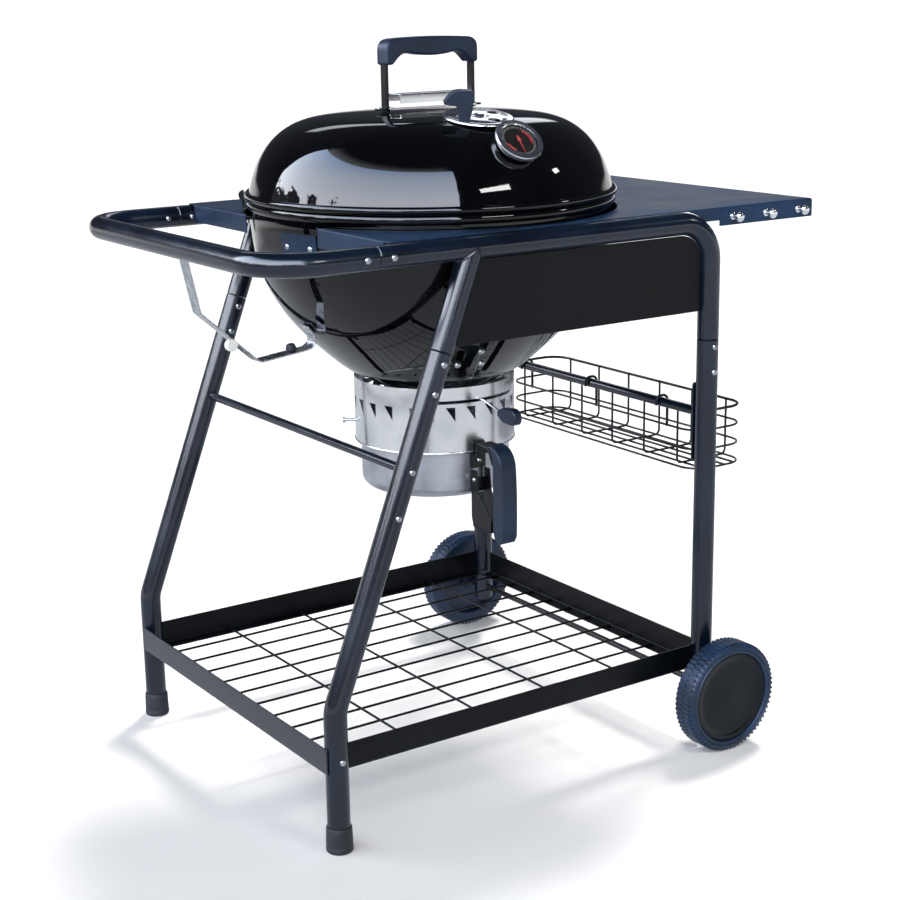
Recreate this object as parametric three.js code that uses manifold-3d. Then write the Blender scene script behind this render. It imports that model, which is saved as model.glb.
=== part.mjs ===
// Kettle charcoal grill on a tubular cart, in millimetres.
// +X runs from the push handle to the wheels, the front faces -Y and +Z is up.
// The origin is on the ground, under the middle of the whole grill.
import * as THREE from "three";
import { mergeVertices } from "three/addons/utils/BufferGeometryUtils.js";
import Module from "manifold-3d";

const wasm = await Module();
wasm.setup();

// ---- driving dimensions -------------------------------------------------

const gap = 0.3; // clearance kept between touching pieces

const cart = {
  railSpacing: 600, // between the centrelines of the front and back rails
  railHeight: 826, // rail centreline above the ground
  tubeRadius: 16.5,
  tubeWall: 1.6,
  handleReach: 71, // how far the push handle's bar stands out left of the front feet
  handleBend: 75,
  handleJoint: 84, // where the handle tube meets the side rails
  rearBend: 58,
  rearLeg: 672, // the wheel legs, right of the front feet
  rearSeam: 648, // height of the joint in a wheel leg
  rearLegEnd: 66,
  legTop: 238, // where a front leg's centreline would meet its rail
  kneeHeight: 210, // the bend in a front leg
  kneeBend: 60,
  seamHeight: 688, // the joint in a front leg
  crossbarHeight: 531,
  crossbarRadius: 6.5,
};
const foot = { radius: 19.5, height: 38, floor: 8 };
const table = {
  left: 108,
  right: 884,
  under: 842.8,
  sheet: 2,
  flange: 26,
  flangeStart: 692,
  hole: 283, // radius of the notch round the kettle
  hooks: [717, 785, 853],
};
const shelf = {
  top: 158,
  depth: 40,
  lip: 22,
  sheet: 2,
  wire: 1.7, // radius
  longWires: 10,
  crossWires: [135, 270, 404, 539],
};
const panel = { bottom: 692, top: 809.2, sheet: 2 };
const wheel = { radius: 88, width: 40, standOff: 36, axle: 5 };
const basket = {
  left: 697,
  right: 806,
  front: 52,
  back: 548,
  bottom: 424,
  rings: 4,
  ringStep: 31.3,
  corner: 34,
  wire: 1.8,
};
const kettle = { x: 371, y: 300, rim: 864, wall: 1.8, bracketSpread: 130, bracketWidth: 30 };

// The bowl's outside as [radius, height above the ground], from the middle of its bottom.
const bowlPoints = [
  [0, 560],
  [62, 566],
  [118, 589],
  [166, 624],
  [226, 686],
  [265, 758],
  [276, 826],
  [277, 852],
];

// The lid's outside as [radius, height above the rim].
const domePoints = [
  [277, 12],
  [271, 34],
  [260, 60],
  [243, 84],
  [222, 102],
  [198, 114],
  [168, 121.5],
  [120, 126],
  [60, 128],
  [0, 128.5],
];
const grates = { cookingHeight: 819.8, cookingRadius: 264, charcoalHeight: 666 };
const collar = { radius: 126, wall: 1.2, top: 590, bottom: 485 };
const bucket = { radius: 117, wall: 1.2, top: 500, bottom: 411, bend: 16 };
const sweep = {
  count: 3, // slots in the bowl's bottom, with as many blades
  slotInner: 32,
  slotOuter: 78,
  slotAngle: THREE.MathUtils.degToRad(52),
  bladeOuter: 84,
  bladeAngle: THREE.MathUtils.degToRad(50),
  bladeSheet: 2.5,
  hub: 18,
};
const lidTurn = THREE.MathUtils.degToRad(6); // the lid is set down a little off square
const vent = {
  turn: THREE.MathUtils.degToRad(-13.6), // round the lid from its front
  out: 162,
  lift: 3.2,
  radius: 51,
  tilt: THREE.MathUtils.degToRad(11),
  ports: 4, // holes in the lid and in the disc over them
  portOut: 30,
  lidPort: 11,
  discPort: 9.5,
  rest: 0.35, // how far the disc stands turned from fully open
  tabAngle: THREE.MathUtils.degToRad(-146),
};
const gauge = {
  turn: THREE.MathUtils.degToRad(-9),
  centre: new THREE.Vector3(0, -248.4, 97.2),
  radius: 36,
  tilt: THREE.MathUtils.degToRad(45),
};
const lidHandle = { half: 84, gripTop: 236, gripEnds: 196, width: 26 };
const shield = { front: 6.4, deep: 34, above: 24, left: -50, right: 98 };
const cradle = {
  // the strap's corners as [x, height]; the kettle end follows the bowl's side
  corners: [
    [-32, 725],
    [60, 643],
  ],
  bowlLow: 655,
  bowlHigh: 686,
  sheet: 2.5,
  width: 26,
  bumper: [118, 652.4],
  roller: [10, 676],
};

// ---- materials ----------------------------------------------------------

const finish = (color, roughness, metalness) =>
  new THREE.MeshStandardMaterial({ color, roughness, metalness });
const enamel = finish(0x0b0d10, 0.08, 0.1);
const powderCoat = finish(0x14202d, 0.35, 0.3);
const blueCoat = finish(0x23456b, 0.4, 0.2);
const blackSteel = finish(0x0d0f12, 0.45, 0.4);
const stainless = finish(0xd8dadc, 0.18, 1);
const aluminium = finish(0x9a9ca8, 0.35, 1);
const plateSteel = finish(0x8c8f92, 0.3, 1);
const bluePlastic = finish(0x1b2c44, 0.45, 0);
const tyrePlastic = finish(0x12365a, 0.5, 0);
const hubPlastic = finish(0x0b1320, 0.4, 0);
const whiteNylon = finish(0xe8e8e6, 0.5, 0);
const rubber = finish(0x101113, 0.8, 0);
const dialBlack = finish(0x08090b, 0.4, 0);
const needleRed = finish(0xc8202c, 0.5, 0);
const glass = finish(0xdfe6ea, 0.05, 0);

// ---- small tools --------------------------------------------------------

const v3 = (x, y, z) => new THREE.Vector3(x, y, z);
const radians = THREE.MathUtils.degToRad;

// A closed geometry as a solid that can be joined and cut.
function solid(geometry) {
  const plain = geometry.clone();
  plain.deleteAttribute("normal");
  plain.deleteAttribute("uv");
  const merged = mergeVertices(plain, 1e-4);
  const triVerts = new Uint32Array(merged.index.array);
  const vertProperties = new Float32Array(merged.attributes.position.array);
  const made = new wasm.Manifold(new wasm.Mesh({ numProp: 3, vertProperties, triVerts }));
  if (made.volume() > 0) return made;
  for (let i = 0; i < triVerts.length; i += 3)
    [triVerts[i + 1], triVerts[i + 2]] = [triVerts[i + 2], triVerts[i + 1]];
  return new wasm.Manifold(new wasm.Mesh({ numProp: 3, vertProperties, triVerts }));
}

const join = (pieces) => pieces.reduce((a, b) => a.add(b));

// A named mesh from a solid.
function mesh(name, body, material, parent) {
  const data = body.getMesh();
  const geometry = new THREE.BufferGeometry();
  geometry.setAttribute("position", new THREE.BufferAttribute(data.vertProperties, 3));
  geometry.setIndex(new THREE.BufferAttribute(data.triVerts, 1));
  geometry.computeVertexNormals();
  const made = new THREE.Mesh(geometry, material);
  made.name = name;
  parent.add(made);
  return made;
}

// A box given by two opposite corners.
function box(from, to) {
  const size = v3(to[0] - from[0], to[1] - from[1], to[2] - from[2]);
  return solid(
    new THREE.BoxGeometry(size.x, size.y, size.z).translate(
      (from[0] + to[0]) / 2,
      (from[1] + to[1]) / 2,
      (from[2] + to[2]) / 2,
    ),
  );
}

// A rod between two points.
function rod(from, to, radius, sides = 12, endRadius = radius) {
  const along = to.clone().sub(from);
  const made = new THREE.CylinderGeometry(endRadius, radius, along.length(), sides);
  const turn = new THREE.Quaternion().setFromUnitVectors(v3(0, 1, 0), along.normalize());
  const middle = from.clone().add(to).multiplyScalar(0.5);
  return solid(made.applyQuaternion(turn).translate(middle.x, middle.y, middle.z));
}

// A profile of [radius, height] pairs turned about +Z.
function turned(profile, segments = 48) {
  const points = profile.map(([r, z]) => new THREE.Vector2(r, z));
  return solid(new THREE.LatheGeometry(points, segments).rotateX(Math.PI / 2));
}

// An outline of [x, z] pairs or a Shape, extruded along Y from one depth to another.
function plate(outline, from, to, curveSegments = 12) {
  const shape = outline instanceof THREE.Shape
    ? outline
    : new THREE.Shape(outline.map(([x, z]) => new THREE.Vector2(x, z)));
  const options = { depth: to - from, bevelEnabled: false, curveSegments };
  return solid(
    new THREE.ExtrudeGeometry(shape, options).rotateX(Math.PI / 2).translate(0, to, 0),
  );
}

// A curve through given samples, so that every sample is one step of an extrusion.
class SampledPath extends THREE.Curve {
  constructor(samples) {
    super();
    this.samples = samples;
  }
  getPoint(t) {
    const at = t * (this.samples.length - 1);
    const i = Math.min(Math.floor(at + 1e-9), this.samples.length - 2);
    return this.samples[i].clone().lerp(this.samples[i + 1], at - i);
  }
  getPointAt(u) {
    return this.getPoint(u);
  }
  getTangentAt(u) {
    const i = Math.round(u * (this.samples.length - 1));
    const before = this.samples[Math.max(i - 1, 0)];
    const here = this.samples[i];
    const after = this.samples[Math.min(i + 1, this.samples.length - 1)];
    const inward = here.clone().sub(before).normalize();
    const outward = after.clone().sub(here).normalize();
    return inward.add(outward).normalize();
  }
}

// Corner points joined by straight runs and round bends.
function bent(corners, radius, arcSteps = 6) {
  const samples = [corners[0]];
  for (let i = 1; i < corners.length - 1; i++) {
    const a = corners[i].clone().sub(corners[i - 1]).normalize();
    const b = corners[i + 1].clone().sub(corners[i]).normalize();
    const angle = a.angleTo(b);
    const start = corners[i].clone().addScaledVector(a, -radius * Math.tan(angle / 2));
    const inward = b.clone().addScaledVector(a, -a.dot(b)).normalize();
    for (let k = 0; k <= arcSteps; k++) {
      const phi = (angle * k) / arcSteps;
      samples.push(
        start
          .clone()
          .addScaledVector(a, radius * Math.sin(phi))
          .addScaledVector(inward, radius * (1 - Math.cos(phi))),
      );
    }
  }
  samples.push(corners[corners.length - 1]);
  return samples;
}

// A round bar, or with a wall a tube that is open at both ends, along samples.
function bar(samples, radius, sides = 12, wall = 0) {
  const section = new THREE.Shape();
  section.absarc(0, 0, radius, 0, Math.PI * 2);
  if (wall > 0) {
    const bore = new THREE.Path();
    bore.absarc(0, 0, radius - wall, 0, Math.PI * 2, true);
    section.holes.push(bore);
  }
  return solid(
    new THREE.ExtrudeGeometry(section, {
      steps: samples.length - 1,
      extrudePath: new SampledPath(samples),
      curveSegments: sides / 2,
      bevelEnabled: false,
    }),
  );
}

// A flat strip along samples in the XZ plane, centred on y and as wide as given.
function strip(samples, thickness, y, width) {
  const path = new SampledPath(samples);
  const last = samples.length - 1;
  const left = [];
  const right = [];
  samples.forEach((point, i) => {
    const t = path.getTangentAt(i / last);
    const n = v3(-t.z, 0, t.x).multiplyScalar(thickness / 2);
    left.push([point.x + n.x, point.z + n.z]);
    right.unshift([point.x - n.x, point.z - n.z]);
  });
  return plate([...left, ...right], y - width / 2, y + width / 2);
}

// An outer profile with an inner one a wall's thickness inside it, as one closed loop.
function shellProfile(outer, wall) {
  const inner = outer.map(([r, z], i) => {
    const [r0, z0] = outer[Math.max(i - 1, 0)];
    const [r1, z1] = outer[Math.min(i + 1, outer.length - 1)];
    const length = Math.hypot(r1 - r0, z1 - z0);
    const inR = r - (wall * (z1 - z0)) / length;
    return [r === 0 ? 0 : Math.max(inR, 0.5), z + (wall * (r1 - r0)) / length];
  });
  return [...outer, ...inner.reverse()];
}

// Points on a smooth curve through [radius, height] pairs.
function smooth(points, count) {
  const curve = new THREE.SplineCurve(points.map(([r, z]) => new THREE.Vector2(r, z)));
  return curve.getPoints(count).map((p) => [Math.max(p.x, 0), p.y]);
}

const grill = new THREE.Group();
const middleX = (table.right - cart.handleReach - cart.tubeRadius) / 2;
grill.position.set(-middleX, -cart.railSpacing / 2, 0);

const frontY = 0;
const backY = cart.railSpacing;
const sides = [
  ["front", frontY, -1],
  ["back", backY, 1],
];

// ---- cart frame ---------------------------------------------------------

const legSlope = cart.legTop / (cart.railHeight - cart.kneeHeight);
const legX = (z) => (z - cart.kneeHeight) * legSlope;

function handleTube() {
  const corners = [
    v3(cart.handleJoint - gap, frontY, cart.railHeight),
    v3(-cart.handleReach, frontY, cart.railHeight),
    v3(-cart.handleReach, backY, cart.railHeight),
    v3(cart.handleJoint - gap, backY, cart.railHeight),
  ];
  const samples = bent(corners, cart.handleBend, 5);
  mesh("handle_tube", bar(samples, cart.tubeRadius, 10, cart.tubeWall), powderCoat, grill);
}

// A side rail, bent down into the top of a wheel leg, with the stub of the front leg welded on.
function sideRail(side, y) {
  const corners = [
    v3(cart.handleJoint, y, cart.railHeight),
    v3(cart.rearLeg, y, cart.railHeight),
    v3(cart.rearLeg, y, cart.rearSeam),
  ];
  const bore = cart.tubeRadius - cart.tubeWall;
  const outer = bar(bent(corners, cart.rearBend), cart.tubeRadius, 10);
  corners[0].x -= 5;
  corners[2].z -= 5;
  const inner = bar(bent(corners, cart.rearBend), bore, 10);
  const low = v3(legX(cart.seamHeight), y, cart.seamHeight);
  const high = v3(legX(cart.railHeight), y, cart.railHeight);
  const stub = rod(low, high, cart.tubeRadius, 10);
  const reach = high.clone().sub(low).normalize();
  const stubBore = rod(low.clone().addScaledVector(reach, -5), high, bore, 10);
  const welded = outer.add(stub).subtract(inner).subtract(stubBore);
  mesh(side + "_rail", welded, powderCoat, grill);
}

function frontLeg(side, y) {
  const top = cart.seamHeight - gap;
  const corners = [
    v3(0, y, foot.floor + gap),
    v3(0, y, cart.kneeHeight),
    v3(legX(top), y, top),
  ];
  const samples = bent(corners, cart.kneeBend, 4);
  const leg = bar(samples, cart.tubeRadius, 10, cart.tubeWall);
  mesh(side + "_handle_leg", leg, powderCoat, grill);
}

function footCap(side, y) {
  const bore = cart.tubeRadius + 2 * gap;
  const profile = [
    [0, 0],
    [foot.radius - 1.5, 0],
    [foot.radius, 3],
    [foot.radius - 0.8, foot.height - 2],
    [foot.radius - 1.6, foot.height],
    [bore, foot.height],
    [bore, foot.floor],
    [0, foot.floor],
  ];
  const cap = mesh(side + "_foot_cap", turned(profile, 16), rubber, grill);
  cap.position.set(0, y, 0);
}

function wheelLeg(side, y) {
  const low = v3(cart.rearLeg, y, cart.rearLegEnd);
  const high = v3(cart.rearLeg, y, cart.rearSeam - gap);
  const tube = bar([low, high], cart.tubeRadius, 10, cart.tubeWall);
  const reach = cart.tubeRadius + 5;
  const hole = rod(
    v3(cart.rearLeg, y - reach, wheel.radius),
    v3(cart.rearLeg, y + reach, wheel.radius),
    wheel.axle + gap,
  );
  mesh(side + "_wheel_leg", tube.subtract(hole), powderCoat, grill);
}

function crossbar() {
  const inset = cart.tubeRadius + gap;
  const x = legX(cart.crossbarHeight);
  const from = v3(x, frontY + inset, cart.crossbarHeight);
  const to = v3(x, backY - inset, cart.crossbarHeight);
  mesh("crossbar", bar([from, to], cart.crossbarRadius, 12, 1.2), powderCoat, grill);
}

// The front panel fills the corner under the rail, between the two legs.
function frontPanel() {
  const clear = cart.tubeRadius + gap + 0.5;
  const slant = clear * Math.hypot(1, legSlope);
  const right = cart.rearLeg - clear;
  const bendX = cart.rearLeg - cart.rearBend;
  const bendZ = cart.railHeight - cart.rearBend;
  const outline = new THREE.Shape();
  outline.moveTo(legX(panel.bottom) + slant, panel.bottom);
  outline.lineTo(right, panel.bottom);
  outline.absarc(bendX, bendZ, right - bendX, 0, Math.PI / 2);
  outline.lineTo(legX(panel.top) + slant, panel.top);
  outline.closePath();
  const sheet = plate(outline, -panel.sheet / 2, panel.sheet / 2, 8);
  mesh("front_panel", sheet, powderCoat, grill);
}

// The tabletop: one sheet with a round notch for the kettle and turned-down edges.
function tabletop() {
  const low = table.under;
  const high = table.under + table.sheet;
  const edge = table.under - table.flange;
  const inset = cart.tubeRadius + 1;
  const t = table.sheet;
  const sheet = join([
    box([table.left, frontY, low], [table.right, backY, high]),
    box([table.left, frontY + inset, edge], [table.left + t, backY - inset, high]),
    box([table.right - t, frontY, edge], [table.right, backY, high]),
    box([table.flangeStart, frontY, edge], [table.right, frontY + t, high]),
    box([table.flangeStart, backY - t, edge], [table.right, backY, high]),
  ]);
  const centre = v3(kettle.x, kettle.y, edge - 5);
  const notch = rod(centre, v3(kettle.x, kettle.y, high + 5), table.hole, 64);
  mesh("tabletop", sheet.subtract(notch), blueCoat, grill);
}

// A tool hook: a stem through the front edge of the table with a round knob on its end.
function toolHook(index, x) {
  const profile = [
    [0, 0],
    [5.5, 0],
    [5.5, 2],
    [2.6, 3],
    [2.6, 12],
    [6.6, 13.5],
    [7.4, 16],
    [6.6, 18.5],
    [3.5, 20],
    [0, 20.4],
  ];
  const hook = mesh("tool_hook_" + index, turned(profile, 12), stainless, grill);
  hook.position.set(x, frontY - gap, table.under - table.flange / 2);
  hook.rotation.x = Math.PI / 2;
}

handleTube();
for (const [side, y] of sides) {
  sideRail(side, y);
  frontLeg(side, y);
  footCap(side, y);
  wheelLeg(side, y);
}
crossbar();
frontPanel();
tabletop();
table.hooks.forEach((x, i) => toolHook(i + 1, x));

// ---- bottom shelf -------------------------------------------------------

const shelfLow = shelf.top - shelf.depth;
const legClear = cart.tubeRadius + gap;

// Angle beams: an upright web with its lip turned in at the bottom.
function shelfBeams() {
  const { top, lip, sheet } = shelf;
  const low = shelfLow;
  const half = sheet / 2;
  const leftWeb = -legClear - sheet;
  const right = cart.rearLeg;
  const fromX = legClear + 0.4;
  const toX = right - legClear - 0.4;
  for (const [side, y, out] of sides) {
    const web = box([fromX, y - half, low], [toX, y + half, top]);
    const edge = y - out * lip;
    const lipBox = box(
      [fromX, Math.min(y, edge), low],
      [toX, Math.max(y, edge), low + sheet],
    );
    mesh("shelf_beam_" + side, web.add(lipBox), powderCoat, grill);
  }
  const inY = frontY + lip + 1;
  const outY = backY - lip - 1;
  const leftWebBox = box([leftWeb, frontY - 5, low], [leftWeb + sheet, backY - 8, top]);
  const leftLip = box([leftWeb, inY, low], [leftWeb + lip, outY, low + sheet]);
  mesh("shelf_beam_left", leftWebBox.add(leftLip), powderCoat, grill);
  const rightWebBox = box(
    [right - half, frontY + legClear + 6, low],
    [right + half, backY - legClear - 6, top],
  );
  const rightLip = box([right + half - lip, inY, low], [right + half, outY, low + sheet]);
  mesh("shelf_beam_right", rightWebBox.add(rightLip), powderCoat, grill);
}

// The shelf's welded wire grid lies on the lips of the beams.
function shelfGrid() {
  const low = shelfLow + shelf.sheet + gap + shelf.wire;
  const high = low + shelf.wire * 1.7;
  const wires = [];
  for (let i = 1; i <= shelf.longWires; i++) {
    const y = (i * cart.railSpacing) / (shelf.longWires + 1);
    wires.push(rod(v3(-14, y, low), v3(cart.rearLeg - 5, y, low), shelf.wire, 4));
  }
  for (const x of shelf.crossWires)
    wires.push(rod(v3(x, 6, high), v3(x, backY - 6, high), shelf.wire, 4));
  mesh("shelf_grid", join(wires), powderCoat, grill);
}

shelfBeams();
shelfGrid();

// ---- wheels -------------------------------------------------------------

function axle() {
  const end = wheel.standOff + 27;
  const sleeveIn = cart.tubeRadius + gap;
  const sleeveOut = wheel.standOff - gap;
  const span = cart.railSpacing;
  const profile = [
    [0, -end],
    [wheel.axle, -end],
    [wheel.axle, -sleeveOut],
    [8, -sleeveOut],
    [8, -sleeveIn],
    [wheel.axle, -sleeveIn],
    [wheel.axle, span + sleeveIn],
    [8, span + sleeveIn],
    [8, span + sleeveOut],
    [wheel.axle, span + sleeveOut],
    [wheel.axle, span + end],
    [0, span + end],
  ];
  const made = mesh("axle", turned(profile, 12), plateSteel, grill);
  made.position.set(cart.rearLeg, 0, wheel.radius);
  made.rotation.x = -Math.PI / 2;
}

// A wheel and its hub cap, drawn from the inner face outwards.
function wheelSet(side, y, out) {
  const { radius, width, axle: bore } = wheel;
  const seat = width - 9.5;
  const profile = [
    [bore + 0.5, 2],
    [18, 2],
    [18, 14],
    [64, 14],
    [64, 3],
    [72, 0],
    [radius - 7, 0],
    [radius, 7],
    [radius, width - 7],
    [radius - 7, width],
    [66, width],
    [60, width - 3],
    [60, seat],
    [52, seat],
    [52, 20],
    [18, 20],
    [18, seat - 3],
    [bore + 0.5, seat - 3],
    [bore + 0.5, 2],
  ];
  const cap = [
    [0, seat + 1],
    [50, seat + 1],
    [51, seat + gap],
    [59.5, seat + gap],
    [59.5, seat + 4],
    [54, seat + 5],
    [46, seat + 3.5],
    [14, seat + 4.5],
    [0, seat + 5],
  ];
  const group = new THREE.Group();
  group.position.set(cart.rearLeg, y + out * wheel.standOff, wheel.radius);
  group.rotation.x = (-out * Math.PI) / 2;
  mesh(side + "_wheel", turned(profile, 24), tyrePlastic, group);
  mesh(side + "_hub_cap", turned(cap, 24), hubPlastic, group);
  grill.add(group);
}

axle();
for (const [side, y, out] of sides) wheelSet(side, y, out);

// ---- wire basket --------------------------------------------------------

function basketHolder() {
  const x = cart.rearLeg + 14;
  const z = basket.bottom + basket.ringStep * (basket.rings - 1) + 8;
  const inset = cart.tubeRadius + gap;
  const thickness = 3;
  for (const [side, y, out] of sides) {
    const near = y - out * inset;
    const far = near - out * thickness;
    const flat = box(
      [cart.rearLeg - 12, Math.min(near, far), z - 72],
      [x + 8, Math.max(near, far), z + 52],
    );
    mesh("basket_bracket_" + side, flat, powderCoat, grill);
  }
  const end = inset + thickness + gap;
  const from = v3(x, frontY + end, z);
  const to = v3(x, backY - end, z);
  mesh("basket_bar", bar([from, to], 7.5, 12, 1.2), powderCoat, grill);
}

// The basket: round-cornered hoops, with wires bent down one side, across and up the other.
function wireBasket() {
  const { left, right, front, back, bottom, rings, ringStep, corner, wire } = basket;
  const top = bottom + ringStep * (rings - 1);
  const wires = [];
  const middle = (left + right) / 2;
  for (let i = 0; i < rings; i++) {
    const z = bottom + i * ringStep;
    const half = [
      v3(left, (front + back) / 2, z),
      v3(left, front, z),
      v3(right, front, z),
      v3(right, (front + back) / 2, z),
    ];
    const other = half.map((p) => v3(left + right - p.x, front + back - p.y, z));
    wires.push(bar(bent(half, corner, 2), wire, 4));
    wires.push(bar(bent(other, corner, 2), wire, 4));
  }
  const inLeft = left + wire * 1.2;
  const inRight = right - wire * 1.2;
  const floor = bottom + wire * 1.2;
  for (let i = 0; i < 6; i++) {
    const y = front + 44 + ((back - front - 88) * i) / 5;
    const corners = [
      v3(inLeft, y, top + wire),
      v3(inLeft, y, floor),
      v3(inRight, y, floor),
      v3(inRight, y, top + wire),
    ];
    wires.push(bar(bent(corners, 9, 2), wire, 4));
  }
  for (let i = 1; i <= 4; i++) {
    const x = left + ((right - left) * i) / 5;
    const reach = Math.abs(x - middle) > 30 ? 6 : 0;
    const low = bottom - wire * 0.1;
    wires.push(rod(v3(x, front + reach, low), v3(x, back - reach, low), wire, 4));
  }
  mesh("wire_basket", join(wires), blackSteel, grill);
}

basketHolder();
wireBasket();

// ---- kettle bowl --------------------------------------------------------

const pot = new THREE.Group(); // origin on the kettle's axis at the rim
pot.position.set(kettle.x, kettle.y, kettle.rim);
grill.add(pot);
const down = (z) => z - kettle.rim;

const bowlCurve = smooth(bowlPoints.map(([r, z]) => [r, down(z)]), 9);

// The bowl's outer radius at a height from the rim.
const bowlRadius = (z) => {
  for (let i = 1; i < bowlCurve.length; i++) {
    const [r0, z0] = bowlCurve[i - 1];
    const [r1, z1] = bowlCurve[i];
    if (z <= z1) return r0 + ((r1 - r0) * (z - z0)) / (z1 - z0);
  }
  return bowlCurve[bowlCurve.length - 1][0];
};

// A slice of a ring about the axis, tall enough to cut through the bottom.
function sector(inner, outer, middle, angle, from, to) {
  const shape = new THREE.Shape();
  shape.absarc(0, 0, outer, middle - angle / 2, middle + angle / 2);
  shape.absarc(0, 0, inner, middle + angle / 2, middle - angle / 2, true);
  const options = { depth: to - from, bevelEnabled: false, curveSegments: 4 };
  return solid(new THREE.ExtrudeGeometry(shape, options).translate(0, 0, from));
}

// A tab welded inside the bowl, which the cooking grate rests on.
function grateTab(angle) {
  const top = down(grates.cookingHeight) - 3.8;
  const wall = bowlRadius(top - 10) - kettle.wall / 2;
  const outline = [
    [wall, top - 14],
    [wall, top],
    [wall - 16, top],
    [wall - 16, top - 2.5],
    [wall - 4, top - 2.5],
    [wall - 4, top - 14],
  ];
  const turn = new THREE.Matrix4().makeRotationZ(angle);
  return plate(outline, -11, 11).transform(turn.elements);
}

function bowl() {
  const profile = shellProfile(bowlCurve, kettle.wall);
  const rim = [
    [275.5, -14],
    [281.5, -11],
    [281.5, -2],
    [274, 0],
    [273.5, -12],
    [275.5, -14],
  ];
  let shell = turned(profile, 32).add(turned(rim, 32));
  for (let i = 0; i < sweep.count; i++) {
    const at = (i * Math.PI * 2) / sweep.count;
    const { slotInner, slotOuter, slotAngle } = sweep;
    shell = shell.subtract(sector(slotInner, slotOuter, at, slotAngle, down(540), down(600)));
  }
  for (const turn of [30, 150, 270]) shell = shell.add(grateTab(radians(turn)));
  const hole = rod(v3(0, 0, down(540)), v3(0, 0, down(600)), 6.5, 16);
  mesh("bowl", shell.subtract(hole), enamel, pot);
}

// A bracket that carries the bowl from the inside of a rail.
function kettleBracket(name, side, x) {
  const inner = legClear;
  const reach = 47;
  const outline = [
    [inner - 0.5, 818],
    [reach, 818],
    [reach, 838],
    [reach - 3, 838],
    [reach - 3, 821],
    [inner - 0.5, 821],
  ];
  const half = kettle.bracketWidth / 2;
  const made = mesh(name, plate(outline, -half, half), powderCoat, grill);
  made.rotation.z = side === "front" ? Math.PI / 2 : -Math.PI / 2;
  made.position.set(x, side === "front" ? frontY : backY, 0);
}

// A tab that stands outside the rim and keeps the lid in place.
function rimLug() {
  const outline = [
    [283, -15],
    [288.5, -15],
    [288.5, 16],
    [293, 21],
    [291, 23.5],
    [285.8, 18],
    [285.8, -12],
    [283, -12],
  ];
  const lug = mesh("rim_lug", plate(outline, -9, 9), blackSteel, pot);
  lug.rotation.z = radians(146);
}

bowl();
for (const [side] of sides) {
  kettleBracket(side + "_bracket_left", side, kettle.x - kettle.bracketSpread);
  kettleBracket(side + "_bracket_right", side, kettle.x + kettle.bracketSpread);
}
rimLug();

// ---- ash collar, sweeper and bucket -------------------------------------

function ashCollar() {
  const { radius, wall } = collar;
  const low = down(collar.bottom);
  const high = down(collar.top);
  const profile = [
    [radius, low],
    [radius, high - 4],
    [radius - wall, high - 4],
    [radius - wall, low],
    [radius, low],
  ];
  let band = turned(profile, 36);
  const teeth = 24;
  const cut = [
    [-7.5, down(556)],
    [7.5, down(556)],
    [7.5, down(534)],
  ];
  for (let i = 0; i < teeth; i++) {
    const tooth = solid(
      new THREE.ExtrudeGeometry(
        new THREE.Shape(cut.map(([x, z]) => new THREE.Vector2(x, z))),
        { depth: 12, bevelEnabled: false },
      )
        .rotateX(Math.PI / 2)
        .translate(0, -radius + 6, 0)
        .rotateZ((i + 0.5) * ((Math.PI * 2) / teeth)),
    );
    band = band.subtract(tooth);
  }
  const slot = sector(100, 150, radians(-88), radians(66), down(561.5), down(566.5));
  mesh("ash_collar", band.subtract(slot), stainless, pot);
}

// A stop pin on the side of the collar.
function collarPin() {
  const angle = radians(150);
  const out = v3(Math.cos(angle), Math.sin(angle), 0);
  const from = out.clone().multiplyScalar(collar.radius + gap).setZ(down(513));
  const to = out.clone().multiplyScalar(collar.radius + 20).setZ(down(513));
  mesh("collar_pin", rod(from, to, 2.5, 10), plateSteel, pot);
}

// The sweeper: three blades on the inside of the bowl's bottom, turned by a lever below it.
function ashSweeper() {
  const under = bowlCurve.filter(([r]) => r < 100 + sweep.hub);
  const lift = kettle.wall + 0.8;
  const low = under.map(([r, z]) => [r, z + lift]);
  const high = under.map(([r, z]) => [r, z + lift + sweep.bladeSheet]);
  const dish = turned([...low, ...high.reverse()], 24);
  const wedges = [];
  for (let i = 0; i < sweep.count; i++) {
    const at = ((i + 0.5) * Math.PI * 2) / sweep.count;
    wedges.push(sector(10, sweep.bladeOuter, at, sweep.bladeAngle, down(545), down(640)));
  }
  const hub = rod(v3(0, 0, down(562)), v3(0, 0, down(600)), sweep.hub, 16);
  const cover = join([hub, ...wedges]);
  const blades = dish.intersect(cover);
  const eye = rod(v3(0, 0, down(540)), v3(0, 0, down(620)), 5.3, 12);
  mesh("sweeper_blades", blades.subtract(eye), plateSteel, pot);
  mesh("sweeper_spindle", spindle(), plateSteel, pot);
  mesh("sweeper_lever", lever(), stainless, pot);
  const knob = mesh("sweeper_knob", knobSolid(), bluePlastic, pot);
  knob.position.set(0, 0, down(553));
  knob.rotation.z = leverAngle;
}

function spindle() {
  const profile = [
    [0, down(546)],
    [4.5, down(546)],
    [4.5, down(566.6)],
    [4.9, down(567)],
    [4.9, down(567.6)],
    [9, down(568)],
    [9, down(571)],
    [0, down(573)],
  ];
  return turned(profile, 16);
}

const leverAngle = radians(-90);
const leverEnd = 196;

// A rod from the spindle out through the collar's slot to the knob.
function lever() {
  const at = (r, z) =>
    v3(Math.cos(leverAngle) * r, Math.sin(leverAngle) * r, down(z));
  const eye = turned(
    [
      [5, down(549)],
      [11, down(549)],
      [11, down(555)],
      [5, down(555)],
      [5, down(549)],
    ],
    16,
  );
  const corners = [at(9, 552), at(60, 552), at(92, 564), at(138, 564), at(leverEnd - 20, 555)];
  return eye.add(bar(bent(corners, 12, 2), 1.9, 6));
}

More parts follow.
